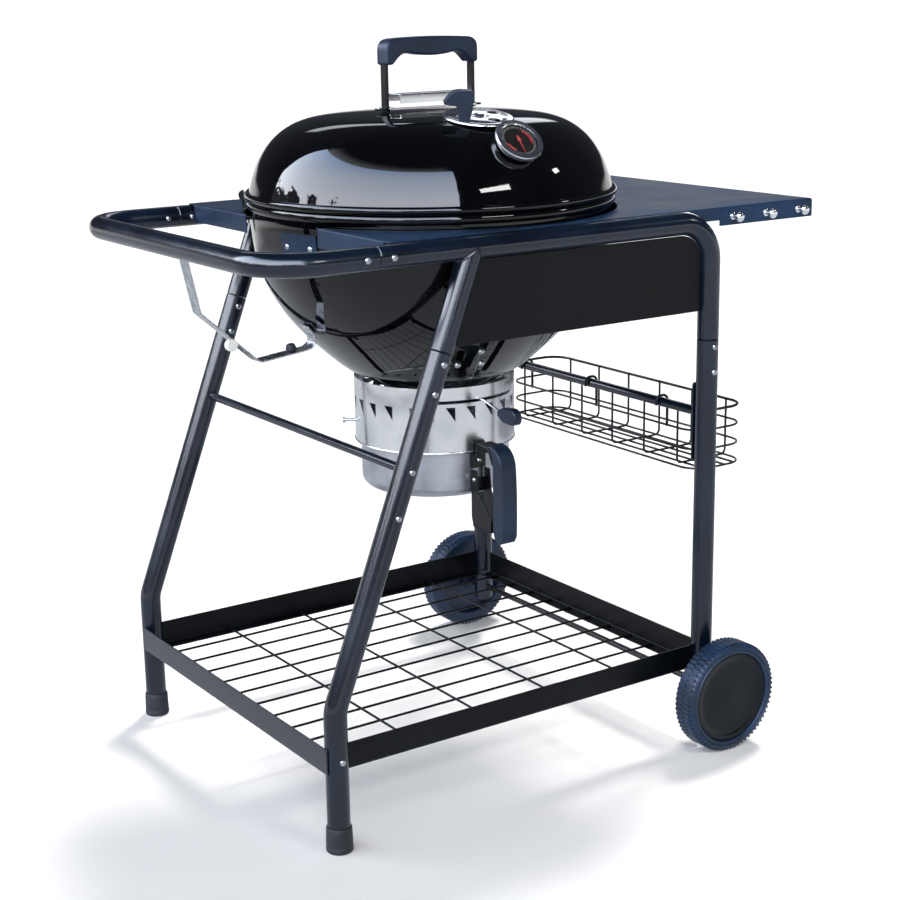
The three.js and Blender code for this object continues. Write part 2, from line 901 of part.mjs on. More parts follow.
// The knob: a flattened plastic grip, thicker at its outer end.
function knobSolid() {
  const shape = new THREE.Shape();
  const from = leverEnd - 18;
  shape.moveTo(from, -4);
  shape.lineTo(from + 14, -12);
  shape.lineTo(from + 34, -13);
  shape.quadraticCurveTo(from + 46, -12, from + 46, -2);
  shape.quadraticCurveTo(from + 46, 11, from + 32, 12);
  shape.lineTo(from + 12, 10);
  shape.lineTo(from, 5);
  shape.closePath();
  const socket = rod(v3(from - 5, 0, 2.4), v3(from + 6, 0, 1.2), 2.4, 8);
  return plate(shape, -7, 7, 5).subtract(socket);
}

function ashBucket() {
  const { radius, wall, bend } = bucket;
  const low = down(bucket.bottom);
  const high = down(bucket.top);
  const outer = [
    [0, low],
    [radius - bend, low],
    [radius - bend * 0.3, low + bend * 0.35],
    [radius, low + bend],
    [radius, high],
  ];
  const inner = [
    [radius - wall, high],
    [radius - wall, low + bend],
    [radius - bend * 0.3 - 1, low + bend * 0.35 + 1],
    [radius - bend, low + wall],
    [0, low + wall],
  ];
  mesh("ash_bucket", turned([...outer, ...inner], 36), aluminium, pot);
}

// The bucket's handle: a steel bracket under it and a tall plastic grip in front.
function bucketHandle() {
  const face = bucket.radius + gap + 0.6;
  const out = bucket.radius + 52;
  const cheek = (side) =>
    plate(
      [
        [face, down(455)],
        [face + 14, down(455)],
        [face + 18, down(420)],
        [out, down(384)],
        [out, down(364)],
        [face + 4, down(364)],
        [face, down(380)],
      ],
      side * 12 - 1.2,
      side * 12 + 1.2,
    );
  const web = box([face, -13.2, down(418)], [face + 2.4, 13.2, down(440)]);
  const sole = box([face + 4, -13.2, down(364)], [out, 13.2, down(367)]);
  const bracket = join([cheek(-1), cheek(1), web, sole]);
  const strapPath = [
    v3(face + 1, 0, down(460)),
    v3(face + 1, 0, down(480)),
    v3(face + 14, 0, down(480)),
    v3(face + 14, 0, down(498)),
    v3(face + 44, 0, down(497)),
    v3(out + 4, 0, down(472)),
  ];
  const strap = strip(bent(strapPath, 4, 2), 2.4, 0, 26);
  const grip = new THREE.Shape();
  const inX = out + 6.5;
  const outX = bucket.radius + 83;
  grip.moveTo(inX, down(368));
  grip.lineTo(inX + 4, down(356));
  grip.lineTo(outX - 6, down(352));
  grip.lineTo(outX, down(362));
  grip.quadraticCurveTo(outX + 3, down(430), outX - 2, down(476));
  grip.quadraticCurveTo(outX - 8, down(497), inX - 2, down(500));
  grip.lineTo(inX - 14, down(502));
  grip.quadraticCurveTo(inX, down(488), inX, down(470));
  grip.closePath();
  const hand = new THREE.Group();
  hand.rotation.z = radians(-90);
  pot.add(hand);
  mesh("bucket_bracket", bracket, blackSteel, hand);
  const notch = strip(bent(strapPath, 4, 2), 3.4, 0, 27);
  const room = box([face, -14, down(362)], [out + gap, 14, down(386)]);
  const gripBody = plate(grip, -14, 14, 6).subtract(notch).subtract(room);
  mesh("bucket_strap", strap, blackSteel, hand);
  mesh("bucket_grip", gripBody, bluePlastic, hand);
}

ashCollar();
collarPin();
ashSweeper();
ashBucket();
bucketHandle();

// ---- grates -------------------------------------------------------------

// A round grate: a hoop, parallel bars across it and two shorter bars under them.
function grate(name, z, hoop, wire, spacing, ties) {
  const ring = turned(
    [0, 90, 180, 270, 360].map((a) => [
      hoop + wire * Math.cos(radians(a)),
      wire * Math.sin(radians(a)),
    ]),
    24,
  );
  const bars = [ring];
  const count = Math.floor((hoop - 14) / spacing);
  for (let i = -count; i <= count; i++) {
    const x = i * spacing;
    const half = Math.sqrt(hoop * hoop - x * x) - wire * 0.3;
    bars.push(rod(v3(x, -half, 0), v3(x, half, 0), wire * 0.8, 4));
  }
  const tieRadius = hoop - 18;
  for (const y of ties) {
    const half = Math.sqrt(tieRadius * tieRadius - y * y);
    bars.push(rod(v3(-half, y, -wire), v3(half, y, -wire), wire * 0.8, 4));
  }
  const made = mesh(name, join(bars), plateSteel, pot);
  made.position.z = down(z);
}

grate("cooking_grate", grates.cookingHeight, grates.cookingRadius, 3.2, 36, [-95, 95]);
const charcoalRadius = bowlRadius(down(grates.charcoalHeight - 4)) - 9;
grate("charcoal_grate", grates.charcoalHeight, charcoalRadius, 3.4, 40, [-60, 60]);

// ---- lid ----------------------------------------------------------------

const lid = new THREE.Group(); // origin on the kettle's axis at the rim, like the pot
lid.rotation.z = lidTurn;
pot.add(lid);

const dome = smooth(domePoints, domePoints.length - 1);

// The lid's height above the rim at a distance from its axis.
const domeHeight = (r) => {
  for (let i = 1; i < dome.length; i++) {
    const [r0, z0] = dome[i - 1];
    const [r1, z1] = dome[i];
    if (r >= r1) return z0 + ((z1 - z0) * (r - r0)) / (r1 - r0);
  }
  return dome[dome.length - 1][1];
};

// The vent and the thermometer stand off to one side of the lid's front.
const spunBy = (angle) => new THREE.Matrix4().makeRotationZ(angle);
const gaugeCentre = gauge.centre.clone().applyMatrix4(spunBy(gauge.turn));
const gaugeAxis = v3(0, -Math.sin(gauge.tilt), Math.cos(gauge.tilt)).applyMatrix4(
  spunBy(gauge.turn),
);

function lidShell() {
  const skirt = [
    [283, 0.5],
    [284.5, 3],
    [284.5, 8],
    [282, 12],
  ];
  const outer = [...skirt, ...dome];
  const profile = [...outer, ...shellProfile(dome, kettle.wall).slice(dome.length)];
  profile.push([274, 0.5], [283, 0.5]);
  let shell = turned(profile, 32);
  for (let i = 0; i < vent.ports; i++) {
    const angle = (i * Math.PI * 2) / vent.ports;
    const x = Math.cos(angle) * vent.portOut;
    const y = Math.sin(angle) * vent.portOut - vent.out;
    const port = rod(v3(x, y, 80), v3(x, y, 160), vent.lidPort, 10);
    shell = shell.subtract(port.transform(spunBy(vent.turn).elements));
  }
  const inward = gaugeAxis.clone().negate();
  const probe = rod(
    gaugeCentre.clone().addScaledVector(inward, 5),
    gaugeCentre.clone().addScaledVector(inward, 90),
    4.2,
  );
  mesh("lid", shell.subtract(probe), enamel, lid);
}

// The bracket that carries the lid's handle: two uprights and a flat bar between their feet.
function lidHandleBracket() {
  const { half, gripEnds } = lidHandle;
  const base = domeHeight(0) + 2.2;
  const pad = (x) => box([x - 15, -9, base], [x + 15, 9, base + 3]);
  const upright = (x) => box([x - 3, -6, base], [x + 3, 6, gripEnds + 14]);
  const tie = box([-half, -13, base], [half, -7, base + 3]);
  const low = [-half, half].map((x) =>
    rod(v3(x, 0, domeHeight(half - 9) + 0.6), v3(x, 0, base + 1), 8, 12),
  );
  const pieces = [pad(-half), pad(half), upright(-half), upright(half), tie, ...low];
  mesh("lid_handle_bracket", join(pieces), blackSteel, lid);
}

// The grip: a moulded bar with rounded shoulders and a belly between two finger reliefs.
function lidHandleGrip() {
  const { half, gripTop, gripEnds, width } = lidHandle;
  const end = half + 5;
  const shape = new THREE.Shape();
  shape.moveTo(-end, gripEnds);
  shape.lineTo(-end, gripTop - 20);
  shape.quadraticCurveTo(-end, gripTop - 3, -end + 18, gripTop - 2);
  shape.quadraticCurveTo(0, gripTop + 2, end - 18, gripTop - 2);
  shape.quadraticCurveTo(end, gripTop - 3, end, gripTop - 20);
  shape.lineTo(end, gripEnds);
  shape.lineTo(end - 14, gripEnds);
  shape.quadraticCurveTo(end - 26, gripTop - 24, end - 42, gripTop - 23);
  shape.quadraticCurveTo(0, gripTop - 33, -end + 42, gripTop - 23);
  shape.quadraticCurveTo(-end + 26, gripTop - 24, -end + 14, gripEnds);
  shape.closePath();
  let grip = plate(shape, -width / 2, width / 2, 6);
  for (const x of [-half, half]) {
    grip = grip.subtract(box([x - 3.4, -6.4, gripEnds - 5], [x + 3.4, 6.4, gripEnds + 14.4]));
  }
  mesh("lid_handle_grip", grip, bluePlastic, lid);
}

// A polished channel behind the uprights keeps the heat off the hand.
function heatShield() {
  const { front: y, deep } = shield;
  const top = domeHeight(0) + shield.above;
  const outline = [
    [y, top - 14],
    [y + 1.2, top - 14],
    [y + 1.2, top - 1.2],
    [y + deep - 1.2, top - 1.2],
    [y + deep - 1.2, top - 12],
    [y + deep, top - 12],
    [y + deep, top],
    [y, top],
  ];
  const section = new THREE.Shape(outline.map(([a, b]) => new THREE.Vector2(a, b)));
  const { left, right } = shield;
  const sheet = solid(
    new THREE.ExtrudeGeometry(section, { depth: right - left, bevelEnabled: false })
      .rotateX(Math.PI / 2)
      .rotateZ(Math.PI / 2)
      .translate(left, 0, 0),
  );
  mesh("heat_shield", sheet, stainless, lid);
}

// The top vent: a slotted disc that turns on a rivet, with an upright finger tab on its edge.
function topVent() {
  const place = new THREE.Group();
  place.rotation.z = vent.turn;
  lid.add(place);
  const plane = new THREE.Group();
  plane.position.set(0, -vent.out, domeHeight(vent.out) + vent.lift);
  plane.rotation.x = vent.tilt;
  place.add(plane);
  const { radius } = vent;
  const profile = [
    [0, 0],
    [radius - 2, 0],
    [radius, -2],
    [radius + 1, -1.4],
    [radius - 1.4, 1.4],
    [9, 1.4],
    [7, 4],
    [0, 4.6],
  ];
  let disc = turned(profile, 24);
  for (let i = 0; i < vent.ports; i++) {
    const angle = (i * Math.PI * 2) / vent.ports + vent.rest;
    const x = Math.cos(angle) * vent.portOut;
    const y = Math.sin(angle) * vent.portOut;
    disc = disc.subtract(rod(v3(x, y, -6), v3(x, y, 6), vent.discPort, 10));
  }
  mesh("vent_disc", disc, stainless, plane);
  const outline = [
    [-6, 0],
    [6, 0],
    [10, 9],
    [11.5, 21],
    [12, 40],
    [8, 44],
    [-14, 43],
    [-22, 38],
    [-31, 26],
    [-30, 22.5],
    [-12, 21],
    [-9.5, 16],
    [-7.5, 7],
  ];
  const tab = mesh("vent_tab", plate(outline, -6.5, 6.5), bluePlastic, plane);
  const out = radius - 7;
  const { tabAngle } = vent;
  tab.position.set(Math.cos(tabAngle) * out, Math.sin(tabAngle) * out, 1.4 + gap);
  tab.rotation.z = radians(-22);
}

// The thermometer: a bezel on a short neck on the dome, with a dial, a needle and a glass.
function thermometer() {
  const place = new THREE.Group();
  place.rotation.z = gauge.turn;
  lid.add(place);
  const plane = new THREE.Group();
  plane.position.copy(gauge.centre);
  plane.rotation.x = gauge.tilt;
  plane.updateMatrix();
  place.add(plane);
  const r = gauge.radius;
  const bezel = [
    [0, -12],
    [r - 5, -12],
    [r - 2, -8],
    [r, -5],
    [r, 0],
    [r - 1.5, 1.5],
    [r - 5, 1.5],
    [r - 5, -4],
    [4.2, -4],
    [4.2, -7],
    [0, -7],
  ];
  const neck = rod(v3(0, 0, -30), v3(0, 0, -10), r - 9, 20);
  const lifted = dome.map(([a, z]) => [a > 0 ? a + 0.5 : 0, z + 0.5]);
  const above = [[0, -20], [dome[0][0] + 0.5, -20], ...lifted];
  const domeSolid = turned(above, 36).transform(plane.matrix.clone().invert().elements);
  const stem = rod(v3(0, 0, -85), v3(0, 0, -11), 2.6, 8);
  const body = turned(bezel, 24).add(neck).subtract(domeSolid).add(stem);
  const lens = [
    [0, 0],
    [r - 5.4, 0],
    [r - 5.4, 1.2],
    [0, 2.2],
  ];
  const dial = [
    [2.2, -3.7],
    [r - 5.4, -3.7],
    [r - 5.4, -2.9],
    [2.2, -2.9],
    [2.2, -3.7],
  ];
  const pointer = plate(
    [
      [-1.5, -8],
      [1.5, -8],
      [0.5, 23],
      [-0.5, 23],
    ],
    -0.3,
    0.3,
  );
  const flat = new THREE.Matrix4().makeRotationX(Math.PI / 2);
  mesh("thermometer_body", body, stainless, plane);
  mesh("thermometer_dial", turned(dial, 24), dialBlack, plane);
  mesh("thermometer_glass", turned(lens, 24), glass, plane);
  const pin = turned([[0, -6.6], [1.8, -6.6], [1.8, -1.8], [0, -1.8]], 12);
  const blade = pointer.transform(flat.elements).translate([0, 0, -1.8]);
  mesh("thermometer_needle", pin.add(blade), needleRed, plane);
}

lidShell();
lidHandleBracket();
lidHandleGrip();
heatShield();
topVent();
thermometer();

// ---- lid cradle ---------------------------------------------------------

// A flat strap from the bowl out to the handle bar, where the lid stands on edge.
function lidCradle() {
  const y = kettle.y;
  const barInside = -cart.handleReach + cart.tubeRadius + gap + 1.5;
  const bowlSide = (z) => kettle.x - bowlRadius(down(z)) - 4.4;
  const { bowlLow, bowlHigh } = cradle;
  const path = [
    v3(barInside, 0, cart.railHeight + 8),
    v3(barInside + 4, 0, cart.railHeight - 26),
    ...cradle.corners.map(([x, z]) => v3(x, 0, z)),
    v3(bowlSide(bowlLow), 0, bowlLow),
    v3(bowlSide(bowlHigh), 0, bowlHigh),
  ];
  const strap = strip(bent(path, 14, 3), cradle.sheet, y, cradle.width);
  mesh("cradle_strap", strap, plateSteel, grill);
  const bumper = mesh(
    "cradle_bumper",
    turned(
      [
        [0, 0],
        [7, 0],
        [8, 3],
        [6, 9],
        [0, 10],
      ],
      16,
    ),
    rubber,
    grill,
  );
  bumper.position.set(cradle.bumper[0], y, cradle.bumper[1]);
  bumper.rotation.y = radians(-7);
  const roller = rod(v3(0, -5, 0), v3(0, 5, 0), 9, 20);
  const made = mesh("cradle_roller", roller, whiteNylon, grill);
  made.position.set(cradle.roller[0], y - cradle.width / 2 - 6, cradle.roller[1]);
}

lidCradle();

export default grill;
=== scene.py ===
# Kettle charcoal grill on a tubular cart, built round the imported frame.
# Sizes in the dictionaries are millimetres, from the foot of the front handle leg unless a note says otherwise.
import math

import bpy
from mathutils import Matrix, Vector


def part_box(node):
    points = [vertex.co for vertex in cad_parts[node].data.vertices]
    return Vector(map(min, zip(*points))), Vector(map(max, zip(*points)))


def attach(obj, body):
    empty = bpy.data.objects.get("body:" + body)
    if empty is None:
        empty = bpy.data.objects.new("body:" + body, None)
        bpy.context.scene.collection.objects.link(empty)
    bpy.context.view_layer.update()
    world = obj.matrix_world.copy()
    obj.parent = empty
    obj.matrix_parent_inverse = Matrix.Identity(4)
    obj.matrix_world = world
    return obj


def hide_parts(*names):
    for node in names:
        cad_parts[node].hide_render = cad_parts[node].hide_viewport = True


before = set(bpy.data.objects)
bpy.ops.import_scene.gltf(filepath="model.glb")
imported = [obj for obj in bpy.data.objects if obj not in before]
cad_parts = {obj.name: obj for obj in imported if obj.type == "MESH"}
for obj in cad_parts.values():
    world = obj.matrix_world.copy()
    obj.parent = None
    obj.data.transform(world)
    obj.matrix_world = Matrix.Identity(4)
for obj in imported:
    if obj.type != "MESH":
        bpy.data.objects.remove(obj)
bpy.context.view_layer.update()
scene = bpy.context.scene
mm = 0.001


def middle(node):
    low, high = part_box(node)
    return (low + high) / 2


footMiddle = middle("front_foot_cap")
cartFrame = Matrix.Translation((footMiddle.x, footMiddle.y, 0)) @ Matrix.Scale(mm, 4)
backY = (middle("back_foot_cap").y - footMiddle.y) / mm  # distance between the two side frames
kettleAxis = middle("ash_bucket")
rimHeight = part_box("bowl")[1].z
potFrame = Matrix.Translation((kettleAxis.x, kettleAxis.y, rimHeight)) @ Matrix.Scale(mm, 4)
groundPot = Matrix.Translation((kettleAxis.x, kettleAxis.y, 0)) @ Matrix.Scale(mm, 4)
lidFrame = potFrame @ Matrix.Rotation(math.radians(6), 4, "Z")  # the lid is set down a little off square


# ---- materials

def linear(hexColour):
    values = [int(hexColour[i:i + 2], 16) / 255 for i in (1, 3, 5)]
    return (*[v / 12.92 if v <= 0.04045 else ((v + 0.055) / 1.055) ** 2.4 for v in values], 1)


def addNode(tree, kind, settings=None, inputs=None):
    node = tree.nodes.new(kind)
    for key, value in (settings or {}).items():
        setattr(node, key, value)
    for key, value in (inputs or {}).items():
        if isinstance(value, bpy.types.NodeSocket):
            tree.links.new(value, node.inputs[key])
        else:
            node.inputs[key].default_value = value
    return node


def surface(name, look):
    # One principled shader. Broad mottling shifts the colour, and fine grain shifts the roughness and the bump.
    material = bpy.data.materials.new(name)
    material.use_nodes = True
    tree = material.node_tree
    tree.nodes.clear()
    place = addNode(tree, "ShaderNodeTexCoord").outputs["Object"]
    stretched = addNode(tree, "ShaderNodeMapping", None, {"Vector": place, "Scale": look.get("stretch", (1, 1, 1))})
    grain = addNode(tree, "ShaderNodeTexNoise", None, {
        "Vector": stretched.outputs[0], "Scale": 1 / (look["grain"] * mm), "Detail": look.get("detail", 3)})
    cloud = addNode(tree, "ShaderNodeTexNoise", None, {
        "Vector": place, "Scale": 1 / (look.get("cloud", 90) * mm), "Detail": 3, "Roughness": 0.55})
    tone = addNode(tree, "ShaderNodeMath", {"operation": "MULTIPLY_ADD"}, {
        0: grain.outputs["Fac"], 1: look.get("speckle", 0.35), 2: cloud.outputs["Fac"]})
    ramp = addNode(tree, "ShaderNodeValToRGB", None, {"Fac": tone.outputs[0]})
    ramp.color_ramp.elements[0].position = 0.45
    ramp.color_ramp.elements[0].color = linear(look["dark"])
    ramp.color_ramp.elements[1].position = 0.9
    ramp.color_ramp.elements[1].color = linear(look["light"])
    low, high = look["roughness"]
    rough = addNode(tree, "ShaderNodeMapRange", None, {
        "Value": tone.outputs[0], "From Min": 0.45, "From Max": 0.9, "To Min": low, "To Max": high})
    bump = addNode(tree, "ShaderNodeBump", None, {
        "Strength": look.get("strength", 0.5), "Distance": look["bump"] * mm, "Height": grain.outputs["Fac"]})
    inputs = {"Base Color": ramp.outputs["Color"], "Roughness": rough.outputs[0], "Normal": bump.outputs[0]}
    inputs.update(look.get("shader", {}))
    shader = addNode(tree, "ShaderNodeBsdfPrincipled", None, inputs)
    addNode(tree, "ShaderNodeOutputMaterial", None, {"Surface": shader.outputs[0]})
    return material


# Porcelain enamel, fired on pressed steel: near-mirror black with a faint orange peel.
enamel = surface("porcelainEnamel", {
    "dark": "#020203", "light": "#06070a", "roughness": (0.02, 0.05), "grain": 9, "detail": 1, "bump": 0.05,
    "strength": 0.35, "shader": {"Specular IOR Level": 0.42}})

# Powder coat on steel tube: blue-black, satin, with the fine peel of baked powder, drawn about twice real size.
powderCoat = surface("powderCoat", {
    "dark": "#040b17", "light": "#0a192b", "roughness": (0.16, 0.25), "grain": 1.4, "bump": 0.04,
    "strength": 0.4, "shader": {"Specular IOR Level": 0.5, "Coat Weight": 0.1, "Coat Roughness": 0.1}})

# The same powder on flat sheet: bluer and a little duller.
sheetCoat = surface("sheetPowderCoat", {
    "dark": "#0b1c31", "light": "#14304f", "roughness": (0.36, 0.5), "grain": 1.6, "bump": 0.06,
    "strength": 0.5, "shader": {"Specular IOR Level": 0.22}})

# Powder coat on the panel and shelf beams: almost black.
blackCoat = surface("blackPowderCoat", {
    "dark": "#020306", "light": "#060a10", "roughness": (0.3, 0.44), "grain": 1.5, "bump": 0.05,
    "strength": 0.45, "shader": {"Specular IOR Level": 0.18}})

# Dipped coating on wire and small brackets: black and slightly lumpy.
wireCoat = surface("wireCoat", {
    "dark": "#030406", "light": "#080b10", "roughness": (0.25, 0.4), "grain": 5, "bump": 0.12, "strength": 0.5,
    "shader": {"Specular IOR Level": 0.35}})

# Stainless sheet, rolled and polished round the axis: bright, with fine lines along the roll.
stainless = surface("polishedStainless", {
    "dark": "#d2d5d8", "light": "#f0f1f2", "roughness": (0.14, 0.26), "grain": 3, "stretch": (0.08, 0.08, 6),
    "bump": 0.02, "strength": 0.3, "shader": {"Metallic": 1.0}})

# Spun aluminium, brushed round the axis: greyer and softer than the stainless.
aluminium = surface("brushedAluminium", {
    "dark": "#9fa2aa", "light": "#c9ccd2", "roughness": (0.3, 0.42), "grain": 2.4, "stretch": (0.05, 0.05, 5),
    "bump": 0.03, "strength": 0.4, "shader": {"Metallic": 1.0}})

# Bright zinc plate on screws, rods and straps: slightly cloudy.
plated = surface("zincPlate", {
    "dark": "#9a9ea3", "light": "#c9ccd0", "roughness": (0.2, 0.36), "grain": 4, "cloud": 14, "bump": 0.03,
    "strength": 0.4, "shader": {"Metallic": 1.0}})

# Bare steel of the grates, blued by heat.
grateSteel = surface("grateSteel", {
    "dark": "#5b5a5c", "light": "#8f9092", "roughness": (0.3, 0.5), "grain": 3, "cloud": 30, "bump": 0.05,
    "strength": 0.5, "shader": {"Metallic": 1.0}})

# Glass-filled nylon handles: dark blue, with a fine spark-eroded texture.
bluePlastic = surface("mouldedNylon", {
    "dark": "#081526", "light": "#112640", "roughness": (0.36, 0.48), "grain": 1.1, "bump": 0.09, "strength": 0.6,
    "shader": {"Specular IOR Level": 0.35}})

# Blow-moulded polyethylene wheels: navy, waxy, with soft flow marks.
wheelPlastic = surface("mouldedPolyethylene", {
    "dark": "#061a30", "light": "#0c2c4c", "roughness": (0.38, 0.5), "grain": 2.2, "cloud": 40, "bump": 0.1,
    "strength": 0.5, "shader": {"Specular IOR Level": 0.4}})

# Hub caps: glossier black plastic.
hubPlastic = surface("mouldedHub", {
    "dark": "#03070d", "light": "#070e18", "roughness": (0.22, 0.34), "grain": 3, "bump": 0.04, "strength": 0.4,
    "shader": {"Specular IOR Level": 0.25}})

# White nylon of the lid's roller.
nylon = surface("whiteNylon", {
    "dark": "#d2d2cf", "light": "#ececea", "roughness": (0.4, 0.5), "grain": 2, "bump": 0.04,
    "shader": {"Subsurface Weight": 0.1, "Subsurface Radius": (0.003, 0.003, 0.003)}})

# Rubber feet and bumper: dull, with a fine moulded skin.
rubber = surface("mouldedRubber", {
    "dark": "#060b12", "light": "#0d1622", "roughness": (0.55, 0.7), "grain": 1.3, "bump": 0.1, "strength": 0.6})

# Printed dial: flat black enamel ink.
dialInk = surface("dialInk", {
    "dark": "#020203", "light": "#050506", "roughness": (0.4, 0.5), "grain": 0.6, "bump": 0.01,
    "shader": {"Specular IOR Level": 0.15}})
dialWhite = surface("dialWhiteInk", {
    "dark": "#cfcfcc", "light": "#f0f0ee", "roughness": (0.35, 0.45), "grain": 0.6, "bump": 0.01})
dialRed = surface("dialRedInk", {
    "dark": "#8e1420", "light": "#c4202e", "roughness": (0.3, 0.4), "grain": 0.6, "bump": 0.01})

# The dial's window: thin clear glass.
windowGlass = surface("windowGlass", {
    "dark": "#f4f7f8", "light": "#ffffff", "roughness": (0.0, 0.02), "grain": 12, "bump": 0.005,
    "shader": {"Transmission Weight": 1.0, "IOR": 1.3}})
print("materials made")


# ---- mesh tools

class Shape:  # verts and faces in millimetres, gathered from closed shapes before they become one piece
    def __init__(self):
        self.verts = []
        self.faces = []

    def add(self, part, matrix=Matrix()):
        verts, faces = part
        base = len(self.verts)
        mirrored = matrix.determinant() < 0
        self.verts += [matrix @ Vector(v) for v in verts]
        for face in faces:
            order = reversed(face) if mirrored else face
            self.faces.append([base + i for i in order])
        return self


def lathe(profile, segments=96):
    # A profile of (radius, height) turned about Z. It ends on the axis, or closes on itself.
    verts, faces, rows = [], [], []
    closed = profile[0] == profile[-1]
    points = profile[:-1] if closed else profile
    for r, z in points:
        if r == 0:
            rows.append([len(verts)] * segments)
            verts.append((0, 0, z))
            continue
        rows.append(list(range(len(verts), len(verts) + segments)))
        for i in range(segments):
            angle = 2 * math.pi * i / segments
            verts.append((r * math.cos(angle), r * math.sin(angle), z))
    pairs = list(zip(rows, rows[1:] + ([rows[0]] if closed else [])))
    for low, high in pairs:
        for i in range(segments):
            j = (i + 1) % segments
            ring = [low[i], low[j], high[j], high[i]]
            kept = [v for k, v in enumerate(ring) if v not in ring[:k]]
            if len(kept) > 2:
                faces.append(kept)
    area = sum(a[0] * b[1] - b[0] * a[1] for a, b in zip(points, points[1:] + points[:1]))
    return (verts, faces) if area > 0 else (verts, [f[::-1] for f in faces])


def prism(outline, low, high):
    # An outline in XY extruded along Z.
    area = sum(a[0] * b[1] - b[0] * a[1] for a, b in zip(outline, outline[1:] + outline[:1]))
    points = outline if area > 0 else outline[::-1]
    count = len(points)
    verts = [(x, y, low) for x, y in points] + [(x, y, high) for x, y in points]
    faces = [list(range(count))[::-1], list(range(count, 2 * count))]
    faces += [[i, (i + 1) % count, count + (i + 1) % count, count + i] for i in range(count)]
    return verts, faces


def block(low, high):
    return prism([(low[0], low[1]), (high[0], low[1]), (high[0], high[1]), (low[0], high[1])], low[2], high[2])


def bent(corners, radius, steps=12):
    # Corner points joined by straight runs and round bends.
    corners = [Vector(c) for c in corners]
    line = [corners[0]]
    for i in range(1, len(corners) - 1):
        a = (corners[i] - corners[i - 1]).normalized()
        b = (corners[i + 1] - corners[i]).normalized()
        angle = a.angle(b)
        start = corners[i] - a * radius * math.tan(angle / 2)
        inward = (b - a * a.dot(b)).normalized()
        for k in range(steps + 1):
            phi = angle * k / steps
            line.append(start + a * radius * math.sin(phi) + inward * radius * (1 - math.cos(phi)))
    return [*line, corners[-1]]


def ribbon(points, thickness, bend=3, steps=5):
    # The outline of a bent strip of sheet, from its (x, z) corners.
    line = bent([(x, z, 0) for x, z in points], bend, steps)
    left, right = [], []
    for i, point in enumerate(line):
        along = (line[min(i + 1, len(line) - 1)] - line[max(i - 1, 0)]).normalized()
        normal = Vector((-along.y, along.x)) * thickness / 2
        left.append((point.x + normal.x, point.y + normal.y))
        right.append((point.x - normal.x, point.y - normal.y))
    return left + right[::-1]


def arc(x, y, radius, start, end, steps=8):
    # Points on an arc, from one angle to another in degrees.
    angles = [math.radians(start + (end - start) * k / steps) for k in range(steps + 1)]
    return [(x + radius * math.cos(a), y + radius * math.sin(a)) for a in angles]


def loop(r, z, wide, high, steps=20):
    # A closed oval profile, for a rolled bead.
    angles = [2 * math.pi * k / steps for k in range(steps)]
    points = [(r + wide * math.cos(a), z + high * math.sin(a)) for a in angles]
    return [*points, points[0]]


def quadratic(start, middle, end, steps=8):
    # Points on a curve from start to end that leans to the middle point, without its start.
    line = []
    for k in range(1, steps + 1):
        t = k / steps
        line.append(tuple((1 - t) ** 2 * a + 2 * t * (1 - t) * b + t * t * c
                          for a, b, c in zip(start, middle, end)))
    return line


def smooth(points, count):
    # Points on a uniform curve through (radius, height) pairs.
    line = []
    last = len(points) - 1
    for k in range(count + 1):
        at = k * last / count
        i = min(int(at), last - 1)
        t = at - i
        p = [points[max(i - 1, 0)], points[i], points[i + 1], points[min(i + 2, last)]]
        pair = []
        for axis in (0, 1):
            v0, v1 = (p[2][axis] - p[0][axis]) / 2, (p[3][axis] - p[1][axis]) / 2
            a = 2 * p[1][axis] - 2 * p[2][axis] + v0 + v1
            b = -3 * p[1][axis] + 3 * p[2][axis] - 2 * v0 - v1
            pair.append(a * t ** 3 + b * t ** 2 + v0 * t + p[1][axis])
        line.append((max(pair[0], 0), pair[1]))
    return line


def insideOf(outer, wall):
    # A shell's inner profile, a wall's thickness to the left of its outer one, run back the other way.
    inner = []
    for i, (r, z) in enumerate(outer):
        before, after = outer[max(i - 1, 0)], outer[min(i + 1, len(outer) - 1)]
        length = math.hypot(after[0] - before[0], after[1] - before[1])
        inR = r - wall * (after[1] - before[1]) / length
        inner.append((0 if r == 0 else max(inR, 0.5), z + wall * (after[0] - before[0]) / length))
    return inner[::-1]


upright = Matrix.Rotation(math.pi / 2, 4, "X")  # stands an (x, z) outline up, its thickness along Y


def move(x, y, z):
    return Matrix.Translation((x, y, z))


def turn(degrees, axis="Z"):
    return Matrix.Rotation(math.radians(degrees), 4, axis)


# ---- making pieces

def plainObject(name, shape, material, matrix):
    mesh = bpy.data.meshes.new(name)
    mesh.from_pydata([matrix @ v for v in shape.verts], [], shape.faces)
    if material:
        mesh.materials.append(material)
    mesh.update()
    made = bpy.data.objects.new(name, mesh)
    scene.collection.objects.link(made)
    return made


def settle(made):
    # Turns a piece and its modifiers into a plain mesh.
    depsgraph = bpy.context.evaluated_depsgraph_get()
    flat = bpy.data.meshes.new_from_object(made.evaluated_get(depsgraph), depsgraph=depsgraph)
    made.modifiers.clear()
    made.data = flat
    flat.name = made.name


def carve(made, cutters, matrix):
    # Cuts closed shapes out of a piece.
    tools = [plainObject("cutter", cutter, None, matrix) for cutter in cutters]
    for tool in tools:
        cut = made.modifiers.new("Cut", "BOOLEAN")
        cut.operation = "DIFFERENCE"
        cut.solver = "EXACT"
        cut.object = tool
    settle(made)
    for tool in tools:
        bpy.data.objects.remove(tool)


def hang(made, body, nodes=()):
    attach(made, body)
    if nodes:
        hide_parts(*nodes)
    return made


